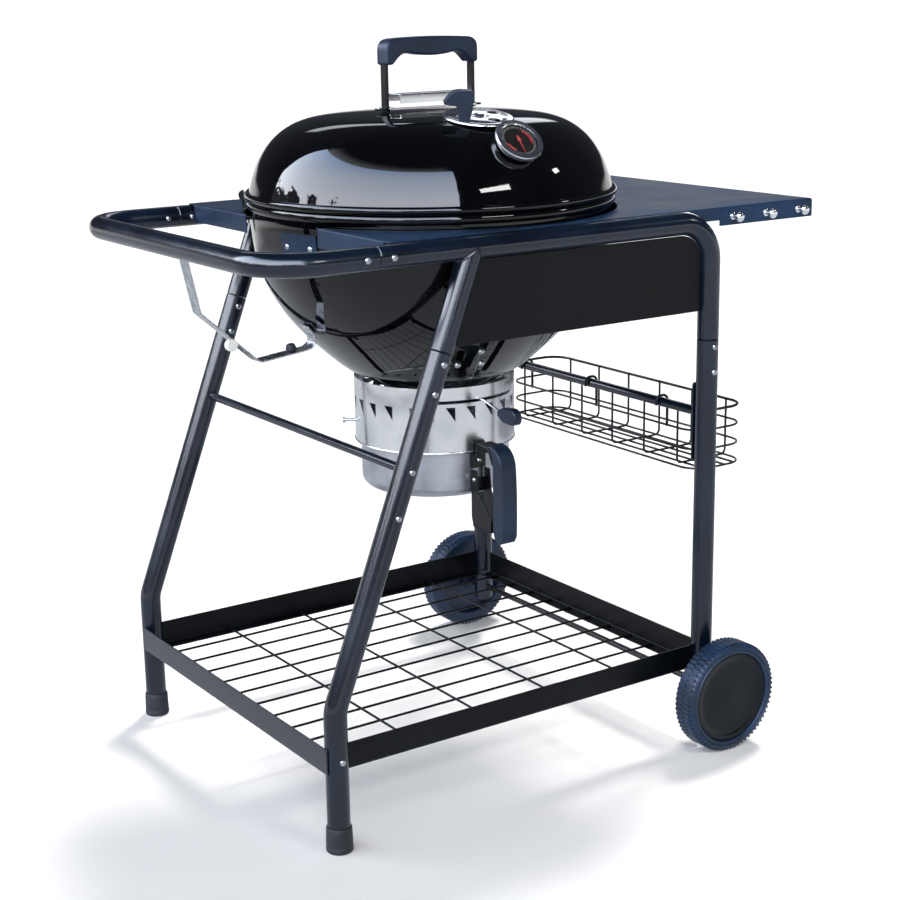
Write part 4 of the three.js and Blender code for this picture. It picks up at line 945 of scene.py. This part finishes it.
collar = {"radius": 126, "wall": 1.2, "top": 586, "bottom": 485, "teeth": 24, "slotAngle": 66, "slotAt": -88,
          "seamAt": -143.8}
inR, outR = collar["radius"] - collar["wall"], collar["radius"]
bandProfile = [(outR, down(collar["bottom"]) + 0.4), (outR, down(collar["top"])), (inR, down(collar["top"])),
               (inR, down(collar["bottom"]) + 0.4), (inR + 0.3, down(collar["bottom"])),
               (outR - 0.3, down(collar["bottom"])), (outR, down(collar["bottom"]) + 0.4)]
tooth = prism([(-7.5, down(556)), (7.5, down(556)), (7.5, down(534))], 0, 12)
teeth = Shape()
for i in range(collar["teeth"]):
    teeth.add(tooth, turn((i + 0.5) * 360 / collar["teeth"]) @ move(0, -outR + 6, 0) @ upright)
lever = Shape().add(sector(100, 150, collar["slotAt"], collar["slotAngle"], down(561.5), down(566.5)))
piece("ash_collar", Shape().add(lathe(bandProfile, 192)), steel, "cart", ["ash_collar"], potFrame,
      cutters=[teeth, lever])
seam = Shape().add(sector(outR + 0.1, outR + 1.1, collar["seamAt"], 6, down(collar["bottom"]), down(collar["top"])))
piece("collar_seam", seam, steel, "cart", (), potFrame, bevel=0.3)
rolls = Shape().add(lathe(loop(outR - 0.3, down(collar["bottom"]), 1.6, 1.6, 12), 128))
piece("collar_roll", rolls, steel, "cart", (), potFrame)
pinProfile = [(0, 126.3), (2.5, 126.3), (2.5, 141), (4.4, 141.4), (4.6, 143), (4, 145.4), (0, 146)]
piece("collar_pin", Shape().add(lathe(pinProfile, 20), move(0, 0, down(513)) @ turn(150) @ turn(90, "Y")),
      zinc, "cart", ["collar_pin"], potFrame)

sweep = {"outer": 84, "angle": 50, "sheet": 2.5, "lift": 2.6, "hub": 18, "leverAt": -90, "leverEnd": 196}


def sweptBlade(middle):
    # A blade that follows the inside of the bowl's bottom.
    verts, faces = [], []
    radii = [12 + (sweep["outer"] - 12) * i / 14 for i in range(15)]
    angles = [math.radians(middle + sweep["angle"] * (k / 10 - 0.5)) for k in range(11)]
    for layer in (0, sweep["sheet"]):
        for r in radii:
            z = heightAt(bowlCurve, r) + sweep["lift"] + layer
            verts += [(r * math.cos(a), r * math.sin(a), z) for a in angles]
    rows, cols = len(radii), len(angles)
    size = rows * cols
    for i in range(rows - 1):
        for k in range(cols - 1):
            a, b = i * cols + k, i * cols + k + 1
            faces.append([a, b, b + cols, a + cols])
            faces.append([size + a, size + a + cols, size + b + cols, size + b])
    edge = [k for k in range(cols)] + [i * cols + cols - 1 for i in range(1, rows)]
    edge += [(rows - 1) * cols + k for k in range(cols - 2, -1, -1)] + [i * cols for i in range(rows - 2, 0, -1)]
    for a, b in zip(edge, edge[1:] + edge[:1]):
        faces.append([b, a, size + a, size + b])
    return verts, faces


blades = Shape()
for i in range(3):
    blades.add(sweptBlade(120 * i + 60))
blades.add(lathe([(5.3, down(562.6)), (18, down(563.4)), (18, down(567.2)), (5.3, down(567.2)), (5.3, down(562.6))], 40))
piece("sweeper_blades", blades, zinc, "sweeper", ["sweeper_blades"], potFrame, bevel=0.4)
spindleProfile = [(0, down(546)), (4, down(546)), (4.5, down(546.6)), (4.5, down(566.6)), (4.9, down(567)),
                  (4.9, down(567.6)), (9, down(568)), (9, down(570)), (8, down(571)), (0, down(573))]
piece("sweeper_spindle", Shape().add(lathe(spindleProfile, 32)), zinc, "sweeper", ["sweeper_spindle"], potFrame)
eye = Shape().add(lathe([(5, down(549)), (10.6, down(549)), (11, down(549.5)), (11, down(554.5)), (10.6, down(555)),
                         (5, down(555)), (5, down(549))], 32))
piece("sweeper_eye", eye, steel, "sweeper", (), potFrame)
leverLine = bent([(0, -9, down(552)), (0, -60, down(552)), (0, -92, down(564)), (0, -138, down(564)),
                  (0, -sweep["leverEnd"] + 20, down(555))], 12, 8)
pipes("sweeper_lever", [(leverLine, 1.9)], steel, "sweeper", ["sweeper_lever"], potFrame, sides=14)
start = sweep["leverEnd"] - 18
knobOutline = [(start, -4), (start + 14, -12), (start + 34, -13)]
knobOutline += quadratic(knobOutline[-1], (start + 46, -12), (start + 46, -2))
knobOutline += quadratic(knobOutline[-1], (start + 46, 11), (start + 32, 12))
knobOutline += [(start + 12, 10), (start, 5)]
knob = Shape().add(prism(knobOutline, -7, 7), move(0, 0, down(553)) @ turn(-90) @ upright)
piece("sweeper_knob", knob, handlePlastic, "sweeper", ["sweeper_knob"], potFrame, bevel=2.6)

bucket = {"radius": 117, "wall": 1.2, "top": 500, "bottom": 411, "bend": 16}
lowZ, highZ = down(bucket["bottom"]), down(bucket["top"])
bucketOuter = [(0, lowZ + 1.2), (60, lowZ + 1.2), (64, lowZ), *arc(117 - 16, lowZ + 16, 16, -90, 0, 10),
               (117, highZ - 3), *arc(115.4, highZ - 1.6, 1.6, 0, 160, 6)]
bucketInner = [(115.8, highZ - 4), *arc(117 - 16, lowZ + 16, 14.8, 0, -90, 10), (64.4, lowZ + 1.2), (60.4, lowZ + 2.4),
               (0, lowZ + 2.4)]
piece("ash_bucket", Shape().add(lathe(bucketOuter + bucketInner, 160)), (aluminium, "aluminium"), "bucket",
      ["ash_bucket"], potFrame)

face, reach = bucket["radius"] + 0.9, bucket["radius"] + 52
handAxis = turn(-90) @ upright
cheek = [(face, down(455)), (face + 14, down(455)), (face + 18, down(420)), (reach, down(384)), (reach, down(364)),
         (face + 4, down(364)), (face, down(380))]
hold = Shape()
for side in (-1, 1):
    hold.add(prism(cheek, side * 12 - 1.2, side * 12 + 1.2), handAxis)
hold.add(block((face, -13.2, down(418)), (face + 2.4, 13.2, down(440))), turn(-90))
hold.add(block((face + 4, -13.2, down(364)), (reach, 13.2, down(367))), turn(-90))
piece("bucket_bracket", hold, black, "bucket", ["bucket_bracket"], potFrame, bevel=0.6)
strapLine = [(face + 1.2, down(456)), (face + 1.2, down(480)), (face + 14, down(480)), (face + 14, down(498)),
             (face + 44, down(497)), (reach + 4, down(472))]
strap = Shape().add(prism(ribbon(strapLine, 2.4, 4, 6), -13, 13), handAxis)
piece("bucket_strap", strap, black, "bucket", ["bucket_strap"], potFrame, bevel=0.5)
gripIn, gripOut = reach + 6.5, bucket["radius"] + 83
grip = [(gripIn, down(368)), (gripIn + 4, down(356)), (gripOut - 6, down(352)), (gripOut, down(362))]
grip += quadratic(grip[-1], (gripOut + 3, down(430)), (gripOut - 2, down(476)), 10)
grip += quadratic(grip[-1], (gripOut - 8, down(497)), (gripIn - 2, down(500)), 8)
grip += [(gripIn - 14, down(502))]
grip += quadratic(grip[-1], (gripIn, down(488)), (gripIn, down(470)), 8)
piece("bucket_grip", Shape().add(prism(grip, -14, 14), handAxis), handlePlastic, "bucket", ["bucket_grip"],
      potFrame, bevel=3.4)
print("collar, sweeper and bucket made")

# ---- grates


def grate(name, z, hoopRadius, wire, spacing, ties):
    lines = [([(hoopRadius * math.cos(a), hoopRadius * math.sin(a), z)
               for a in (2 * math.pi * k / 96 for k in range(96))], wire, True)]
    count = int((hoopRadius - 14) / spacing)
    for i in range(-count, count + 1):
        half = math.sqrt(hoopRadius ** 2 - (i * spacing) ** 2) - wire * 0.3
        lines.append(([(i * spacing, -half, z), (i * spacing, 0, z), (i * spacing, half, z)], wire * 0.8))
    for y in ties:
        half = math.sqrt((hoopRadius - 18) ** 2 - y * y)
        lines.append(([(-half, y, z - wire), (0, y, z - wire), (half, y, z - wire)], wire * 0.8))
    pipes(name, lines, (grateSteel, "plated_steel"), name, [name], potFrame, sides=12)


grateX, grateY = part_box("cooking_grate")
grate("cooking_grate", down(bowl["grateZ"]), (grateY.x - grateX.x) / 2 / mm - 3.2, 3.2, 18, [-95, 95])
coalLow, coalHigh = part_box("charcoal_grate")
grate("charcoal_grate", down(666), (coalHigh.x - coalLow.x) / 2 / mm - 3.4, 3.4, 20, [-60, 60])
print("grates made")

# ---- lid

domePoints = [(277, 12), (271, 34), (260, 60), (243, 84), (222, 102), (198, 114), (168, 121.5), (120, 126), (60, 128),
              (0, 128.5)]
lid = {"wall": 1.8, "bead": (279.7, 6.4, 4.8, 5.8), "ventTurn": -13.6, "ventOut": 162, "ventTilt": 11, "ports": 4,
       "portOut": 30, "lidPort": 11}
dome = smooth(domePoints, 64)
gauge = {"turn": -9, "centre": (0, -248.4, 97.2), "radius": 36, "tilt": 45}
gaugePlace = turn(gauge["turn"]) @ move(*gauge["centre"]) @ turn(gauge["tilt"], "X")
portCuts = []
for i in range(lid["ports"]):
    angle = 2 * math.pi * i / lid["ports"]
    x, y = lid["portOut"] * math.cos(angle), lid["portOut"] * math.sin(angle) - lid["ventOut"]
    portCuts.append(Shape().add(lathe([(0, 80), (lid["lidPort"], 80), (lid["lidPort"], 160), (0, 160)], 32),
                                turn(lid["ventTurn"]) @ move(x, y, 0)))
portCuts.append(Shape().add(lathe([(0, -90), (4.2, -90), (4.2, -5), (0, -5)], 24), gaugePlace))
piece("lid", Shape().add(lathe(dome + insideOf(dome, lid["wall"]), 192)), glaze, "lid", ["lid"], lidFrame,
      cutters=portCuts)
piece("lid_bead", Shape().add(lathe(loop(*lid["bead"], 24), 192)), glaze, "lid", (), lidFrame)

handle = {"half": 84, "top": 236, "ends": 196, "width": 26}
crown = heightAt(dome, 0)
base = crown + 2.2
arms = Shape()
for x in (-handle["half"], handle["half"]):
    pad = (arc(x + 11, 5, 4, 0, 90, 4) + arc(x - 11, 5, 4, 90, 180, 4)
           + arc(x - 11, -5, 4, 180, 270, 4) + arc(x + 11, -5, 4, 270, 360, 4))
    arms.add(prism(pad, base, base + 3))
    arms.add(block((x - 3, -6, base + 1), (x + 3, 6, handle["ends"] + 14)))
    arms.add(lathe([(0, heightAt(dome, handle["half"] - 9) + 0.6), (7.4, heightAt(dome, handle["half"] - 9) + 0.6),
                    (8, base + 1), (0, base + 1)], 32), move(x, 0, 0))
piece("lid_handle_bracket", arms, black, "lid", ["lid_handle_bracket"], lidFrame, bevel=0.8)
tie = Shape().add(block((-handle["half"], -13, base), (handle["half"], -7.4, base + 3)))
piece("lid_handle_tie", tie, steel, "lid", (), lidFrame, bevel=0.5)

end, top = handle["half"] + 5, handle["top"]
outline = [(-end, handle["ends"]), (-end, top - 20)]
outline += quadratic(outline[-1], (-end, top - 3), (-end + 18, top - 2), 8)
outline += quadratic(outline[-1], (0, top + 2), (end - 18, top - 2), 8)
outline += quadratic(outline[-1], (end, top - 3), (end, top - 20), 8)
outline += [(end, handle["ends"]), (end - 14, handle["ends"])]
outline += quadratic(outline[-1], (end - 26, top - 24), (end - 42, top - 23), 8)
outline += quadratic(outline[-1], (0, top - 33), (-end + 42, top - 23), 10)
outline += quadratic(outline[-1], (-end + 26, top - 24), (-end + 14, handle["ends"]), 8)
half = handle["width"] / 2
piece("lid_handle_grip", Shape().add(prism(outline, -half, half), upright), handlePlastic, "lid",
      ["lid_handle_grip"], lidFrame, bevel=4.2)

shieldTop = crown + 24
channel = ribbon([(7, shieldTop - 14), (7, shieldTop - 0.6), (39.8, shieldTop - 0.6), (39.8, shieldTop - 12)], 1.2, 2.4, 5)
piece("heat_shield", Shape().add(prism(channel, -50, 98), alongX), steel, "lid", ["heat_shield"], lidFrame, bevel=0.3)
print("lid and handle made")

# ---- top vent

vent = {"radius": 51, "discPort": 9.5, "rest": 20, "tabAt": -146}
ventPlace = (turn(lid["ventTurn"]) @ move(0, -lid["ventOut"], 122.06 + 3.2)
             @ turn(lid["ventTilt"], "X"))
discProfile = [(0, 0), (49, 0), (50.6, -1.6), (51, -2), (51.6, -1.8), (51.9, -1.2), (51.2, 0.1), (49.8, 1.3),
               (49, 1.5), (40, 1.5), (39, 2.1), (13, 2.1), (11, 1.6), (9, 1.8), (7.6, 3.4), (6, 4.4), (0, 4.8)]
discCuts = []
for i in range(lid["ports"]):
    at = turn(90 * i + vent["rest"]) @ move(lid["portOut"], 0, 0)
    discCuts.append(Shape().add(lathe([(0, -6), (vent["discPort"], -6), (vent["discPort"], 6), (0, 6)], 32), at))
piece("vent_disc", Shape().add(lathe(discProfile, 96), ventPlace), steel, "vent", ["vent_disc"], lidFrame,
      cutters=[Shape().add((cut.verts, cut.faces), ventPlace) for cut in discCuts])
tabOutline = [(-6, 0), (6, 0), (8.6, 4), (10.2, 10), (11.2, 18), (11.8, 35), (11.2, 40), (9.6, 42.6), (7, 43.7),
              (-8, 43.8), (-14, 42.8), (-19, 40.4), (-24, 35.6), (-29.4, 28), (-30.8, 25.2), (-30, 22.8), (-24, 21.6),
              (-13.6, 21), (-11, 19), (-9.5, 15), (-7.6, 7)]
tabReach = vent["radius"] - 7
tabAngle = math.radians(vent["tabAt"])
tabPlace = (ventPlace @ move(math.cos(tabAngle) * tabReach, math.sin(tabAngle) * tabReach, 1.7)
            @ turn(-22) @ upright)
piece("vent_tab", Shape().add(prism(tabOutline, -6.5, 6.5), tabPlace), handlePlastic, "vent", ["vent_tab"],
      lidFrame, bevel=2.2)

# ---- thermometer: a bezel and window on a short neck that stands in the dome

r = gauge["radius"]
bezelProfile = [(0, -12), (r - 5, -12), (r - 2.4, -9), (r - 0.3, -6), (r, -4.6), (r, -0.4), (r - 0.6, 0.9),
                (r - 2.4, 1.6), (r - 6.6, 1.2), (r - 8.4, 0.2), (r - 8.8, -4), (4.2, -4), (4.2, -7), (0, -7)]
piece("thermometer_body", Shape().add(lathe(bezelProfile, 96), gaugePlace), steel, "lid", ["thermometer_body"],
      lidFrame)
neck = Shape().add(lathe([(0, -29), (r - 9.2, -29), (r - 9.2, -12.4), (0, -12.4)], 64), gaugePlace)
under = [(0, -20), (dome[0][0] + 0.2, -20)] + [(a + 0.3 if a else 0, z + 0.3) for a, z in dome]
piece("thermometer_neck", neck, black, "lid", (), lidFrame, cutters=[Shape().add(lathe(under, 128))])
stem = Shape().add(lathe([(0, -85), (2, -85), (2.6, -84), (2.6, -12), (0, -12)], 20), gaugePlace)
piece("thermometer_stem", stem, steel, "lid", (), lidFrame)
dialR = r - 9
dialProfile = [(2.2, -3.7), (dialR, -3.7), (dialR, -2.9), (2.2, -2.9), (2.2, -3.7)]
piece("thermometer_dial", Shape().add(lathe(dialProfile, 64), gaugePlace), (dialInk, "dial_black"), "lid",
      ["thermometer_dial"], lidFrame)
dialPlace = lidFrame @ gaugePlace @ Matrix.Scale(1 / mm, 4)
tick = Shape().add(block((dialR - 4.6, -0.35, -2.95), (dialR - 1.4, 0.35, -2.75)))
tick.verts = [v * mm for v in tick.verts]
ring("dial_ticks", tick, 36, (dialWhite, "white_nylon"), "lid", dialPlace)
warm = Shape()
for start, stop in ((-20, 55), (190, 235)):
    band = arc(0, 0, dialR - 5.4, start, stop, 20) + arc(0, 0, dialR - 8.6, stop, start, 20)
    warm.add(prism(band, -2.95, -2.7))
piece("dial_zones", Shape().add((warm.verts, warm.faces), gaugePlace), (dialRed, "needle_red"), "lid", (), lidFrame)
needleShape = Shape().add(prism([(-1.5, 8), (1.5, 8), (0.9, -8), (0.45, -22.6), (-0.45, -22.6), (-0.9, -8)], -2.1, -1.5))
needleShape.add(lathe([(0, -6.6), (1.8, -6.6), (1.8, -2), (3, -1.9), (3, -1.2), (2, -0.9), (0, -0.9)], 24))
piece("thermometer_needle", Shape().add((needleShape.verts, needleShape.faces), gaugePlace),
      (dialRed, "needle_red"), "needle", ["thermometer_needle"], lidFrame)
lensProfile = [(0, 0), (dialR, 0), (dialR, 1.1), (dialR * 0.8, 1.5), (dialR * 0.4, 1.9), (0, 2.1)]
piece("thermometer_glass", Shape().add(lathe(lensProfile, 64), gaugePlace), (windowGlass, "glass"), "lid",
      ["thermometer_glass"], lidFrame)
print("vent and thermometer made")

# ---- lid cradle: a strap from the bowl to the handle bar, where the lid stands on edge

cradle = {"corners": [(-32, 725), (60, 643)], "bowlLow": 655, "bowlHigh": 686, "sheet": 2.5, "width": 26}
barInside = handleX + tube + 1.8


def bowlSide(z):
    return kettle["x"] - radiusAt(bowlCurve, down(z)) - 4.4


strapCorners = [(barInside, rail + 8), (barInside + 4, rail - 26), *cradle["corners"],
                (bowlSide(cradle["bowlLow"]), cradle["bowlLow"]), (bowlSide(cradle["bowlHigh"]), cradle["bowlHigh"])]
halfWide = cradle["width"] / 2
strapShape = Shape().add(prism(ribbon(strapCorners, cradle["sheet"], 14, 8), -halfWide, halfWide),
                         move(0, kettle["y"], 0) @ upright)
piece("cradle_strap", strapShape, zinc, "cart", ["cradle_strap"], bevel=0.5)
bumper = lathe([(0, 0), (7, 0), (7.6, 0.8), (8, 3), (7.4, 6), (6, 8.8), (4, 9.8), (0, 10)], 32)
piece("cradle_bumper", Shape().add(bumper, move(118, kettle["y"], 652.4) @ turn(-7, "Y")), (rubber, "rubber"), "cart",
      ["cradle_bumper"])
roller = lathe([(0, -5), (7.8, -5), (9, -3.8), (9, 3.8), (7.8, 5), (0, 5)], 40)
piece("cradle_roller", Shape().add(roller, move(10, kettle["y"] - halfWide - 6, 676) @ turn(90, "X")),
      (nylon, "white_nylon"), "cart", ["cradle_roller"])
print("cradle made")

# ---- screws and nuts

screws, nuts = [], []
for side, y, out in sides:
    for z in (673, 634):
        screws.append(((legX(z), y - tube, z), (0, -1, 0), 1))
        nuts.append(((legX(z), y + tube, z), (0, 1, 0), 0.8))
    for z in (637, 598):
        screws.append(((cart["rearLeg"], y + out * tube, z), (0, out, 0), 1))
        nuts.append(((cart["rearLeg"], y - out * tube, z), (0, -out, 0), 0.8))
    for x in (63, 104):
        screws.append(((x, y + out * tube, rail), (0, out, 0), 1))
        nuts.append(((x, y - out * tube, rail), (0, -out, 0), 0.8))
    for z in (cart["crossbar"], 470):
        screws.append(((legX(z), y + out * tube, z), (0, out, 0), 0.95))
    for x in (0, cart["rearLeg"]):
        screws.append(((x, y + out * tube, 138), (0, out, 0), 0.95))
    for z in (barZ - 50, barZ + 36):
        screws.append(((cart["rearLeg"], y - out * (tube + 3.3), z), (0, -out, 0), 0.9))
    for x in (kettle["x"] - bracket["spread"], kettle["x"] + bracket["spread"]):
        nuts.append(((x, y - out * 32, bracket["low"]), (0, 0, -1), 0.9))
heads("cart_screws", screwHead, screws, zinc, "cart")
heads("cart_nuts", domeNut, nuts, zinc, "cart", seed=2)


def onBowl(angle, z):
    # A point on the bowl's outside and the way the surface faces there.
    r0, r1 = radiusAt(bowlCurve, down(z) - 2), radiusAt(bowlCurve, down(z) + 2)
    a = math.radians(angle)
    lean = Vector((4, r0 - r1))
    lean.normalize()
    r = (r0 + r1) / 2
    return (r * math.cos(a), r * math.sin(a), down(z)), (lean.x * math.cos(a), lean.x * math.sin(a), lean.y)


bowlBolts = []
for angle, z in ((-103, 655), (-112, 632), (-100, 632), (-172, 812), (-162, 812)):
    point, facing = onBowl(angle, z)
    bowlBolts.append((point, facing, 1))
heads("bowl_bolts", domeNut, bowlBolts, zinc, "cart", potFrame, seed=3)
lidBolts = [((x + s, 4.6, base + 3), (0, 0, 1), 0.72) for x in (-handle["half"], handle["half"]) for s in (-9, 9)]
heads("lid_screws", screwHead, lidBolts, zinc, "lid", lidFrame, seed=4)
handBolts = [((0, -face - 2.4, down(468)), (0, -1, 0), 0.8)]
handBolts += [((side * 13.2, -face - 9, down(440)), (side, 0, 0), 0.7) for side in (-1, 1)]
heads("bucket_screws", domeNut, handBolts, zinc, "bucket", potFrame, seed=5)
for template in (screwHead, domeNut):
    bpy.data.objects.remove(template)
print("screws made")

# ---- floor, lights and camera

floorMaterial = surface("paleFloor", {
    "dark": "#fbf9f6", "light": "#fdfbf8", "roughness": (0.9, 0.95), "grain": 4, "bump": 0.002})
floorMesh = bpy.data.meshes.new("floor")
floorMesh.from_pydata([(-40, -40, 0), (40, -40, 0), (40, 40, 0), (-40, 40, 0)], [], [(0, 1, 2, 3)])
floorMesh.materials.append(floorMaterial)
floor = bpy.data.objects.new("floor", floorMesh)
scene.collection.objects.link(floor)

floor.visible_glossy = False

# The sky round the grill: pale on the left, a bright gap behind, and dark overhead.
world = bpy.data.worlds.new("yard")
scene.world = world
world.use_nodes = True
sky = world.node_tree
sky.nodes.clear()
spun = addNode(sky, "ShaderNodeMapping", None, {
    "Vector": addNode(sky, "ShaderNodeTexCoord").outputs["Generated"], "Rotation": (0, 0, math.radians(-120))})
axes = addNode(sky, "ShaderNodeSeparateXYZ", None, {"Vector": spun.outputs[0]}).outputs


def sum2(first, second, operation="ADD"):
    return addNode(sky, "ShaderNodeMath", {"operation": operation}, {0: first, 1: second}).outputs[0]


azimuth = sum2(sum2(sum2(axes[1], axes[0], "ARCTAN2"), 180 / math.pi, "MULTIPLY"), 120)
elevation = sum2(sum2(axes[2], 1, "ARCSINE"), 180 / math.pi, "MULTIPLY")


def within(value, low, high, soft):
    rise = addNode(sky, "ShaderNodeMapRange", {"interpolation_type": "SMOOTHSTEP"}, {
        "Value": value, "From Min": low, "From Max": low + soft}).outputs[0]
    fall = addNode(sky, "ShaderNodeMapRange", {"interpolation_type": "SMOOTHSTEP"}, {
        "Value": value, "From Min": high - soft, "From Max": high, "To Min": 1, "To Max": 0}).outputs[0]
    return sum2(rise, fall, "MULTIPLY")


patches = [
    ((118, 256, 10), (elevation, 4, 90, 3), (elevation, -20, 58, 12), "#dbe0e8", 2.9),
    ((43, 55, 2), (elevation, 15, 40, 3), (elevation, -90, 91, 1), "#f4f7ff", 2.6),
    ((54, 80, 3), (elevation, 27, 34, 2), (elevation, -90, 91, 1), "#f4f7ff", 2.0),
    ((-60, 300, 0.1), (elevation, -12, 4, 3), (elevation, -90, 91, 1), "#ffffff", 1.1),
    ((-60, 300, 0.1), (elevation, -95, -9, 5), (elevation, -90, 91, 1), "#e8edf4", 0.8),
]
total = None
for (low, high, soft), first, second, tint, strength in patches:
    mask = sum2(within(azimuth, low, high, soft), sum2(within(*first), within(*second), "MULTIPLY"), "MULTIPLY")
    lit = addNode(sky, "ShaderNodeMixRGB", {"blend_type": "MIX"}, {
        "Fac": mask, "Color1": (0, 0, 0, 1), "Color2": [v * strength for v in linear(tint)[:3]] + [1]}).outputs[0]
    total = lit if total is None else addNode(sky, "ShaderNodeMixRGB", {"blend_type": "ADD"}, {
        "Fac": 1.0, "Color1": total, "Color2": lit}).outputs[0]
dusk = addNode(sky, "ShaderNodeMixRGB", {"blend_type": "ADD"}, {
    "Fac": 1.0, "Color1": total, "Color2": (0.045, 0.05, 0.062, 1)}).outputs[0]
background = addNode(sky, "ShaderNodeBackground", None, {"Color": dusk, "Strength": 1})
addNode(sky, "ShaderNodeOutputWorld", None, {"Surface": background.outputs[0]})


def lampAt(name, lamp, place, energy, colour, glossy):
    lamp.energy = energy
    lamp.color = colour
    made = bpy.data.objects.new(name, lamp)
    made.location = place
    made.rotation_euler = (Vector((0, 0, 0.7)) - Vector(place)).to_track_quat("-Z", "Y").to_euler()
    made.visible_glossy = glossy
    scene.collection.objects.link(made)


def softbox(name, around, up, far, size, energy, colour=(1, 1, 1), glossy=True):
    # An area lamp, placed by its azimuth and elevation as seen from the lid.
    lamp = bpy.data.lights.new(name, "AREA")
    lamp.shape = "RECTANGLE"
    lamp.size, lamp.size_y = size
    a, e = math.radians(around), math.radians(up)
    place = (far * math.cos(e) * math.cos(a), far * math.cos(e) * math.sin(a), 0.9 + far * math.sin(e))
    lampAt(name, lamp, place, energy, colour, glossy)


# A curved sheet of evening sky over a line of trees, which only the glossy surfaces show.
skySheet = bpy.data.meshes.new("skySheet")
sheetVerts, sheetFaces = [], []
for i in range(41):
    angle = math.radians(122 + i * 132 / 40)
    for height in (0.2, 8.4):
        sheetVerts.append((6.5 * math.cos(angle), 6.5 * math.sin(angle), height))
for i in range(40):
    sheetFaces.append((2 * i, 2 * i + 1, 2 * i + 3, 2 * i + 2))
skySheet.from_pydata(sheetVerts, [], sheetFaces)
glow = bpy.data.materials.new("eveningSky")
glow.use_nodes = True
tree = glow.node_tree
tree.nodes.clear()
where = addNode(tree, "ShaderNodeTexCoord").outputs["Object"]
heightAbove = addNode(tree, "ShaderNodeSeparateXYZ", None, {"Vector": where}).outputs[2]
leaves = addNode(tree, "ShaderNodeTexNoise", None, {"Vector": where, "Scale": 0.9, "Detail": 8, "Roughness": 0.66})
treeTop = addNode(tree, "ShaderNodeMath", {"operation": "MULTIPLY_ADD"}, {
    0: leaves.outputs["Fac"], 1: -4.6, 2: heightAbove}).outputs[0]
skyline = addNode(tree, "ShaderNodeMapRange", None, {"Value": treeTop, "From Min": 0.1, "From Max": 0.2})
fade = addNode(tree, "ShaderNodeValToRGB", None, {
    "Fac": addNode(tree, "ShaderNodeMath", {"operation": "DIVIDE"}, {0: heightAbove, 1: 8.4}).outputs[0]})
fade.color_ramp.elements[0].color = linear("#f2f4f8")
fade.color_ramp.elements[1].color = linear("#8fa3c4")
strength = addNode(tree, "ShaderNodeMath", {"operation": "MULTIPLY_ADD"}, {0: skyline.outputs[0], 1: 15.0, 2: 0.3})
shine = addNode(tree, "ShaderNodeEmission", None, {"Color": fade.outputs["Color"], "Strength": strength.outputs[0]})
addNode(tree, "ShaderNodeOutputMaterial", None, {"Surface": shine.outputs[0]})
skySheet.materials.append(glow)
skyPanel = bpy.data.objects.new("skyPanel", skySheet)
scene.collection.objects.link(skyPanel)
for part in ("camera", "diffuse", "shadow", "transmission"):
    setattr(skyPanel, "visible_" + part, False)

softbox("smallSoftbox", -31, 26, 4, (0.3, 0.26), 7)
softbox("frontSoftbox", -82, 26.5, 4, (1.3, 0.3), 30)
softbox("fillSoftbox", -124, 35, 4.5, (2.4, 2.0), 34, (1.0, 0.99, 0.97), False)
sun = bpy.data.lights.new("sun", "SUN")
sun.angle = math.radians(14)
lampAt("sun", sun, (1.5, 0.9, 3.2), 3.1, (1.0, 0.98, 0.955), False)

cameraData = bpy.data.cameras.new("camera")
cameraData.lens = 69.28
cameraData.sensor_width = 36
cameraData.clip_end = 200
camera = bpy.data.objects.new("camera", cameraData)
camera.matrix_world = (Matrix.Translation((-1.4975, -2.2255, 1.15125)) @ turn(-33.95, "Z")
                       @ turn(90 - 14.56, "X") @ turn(-0.93, "Z"))
scene.collection.objects.link(camera)
scene.camera = camera
scene.view_settings.view_transform = "Standard"
print("floor, lights and camera placed")
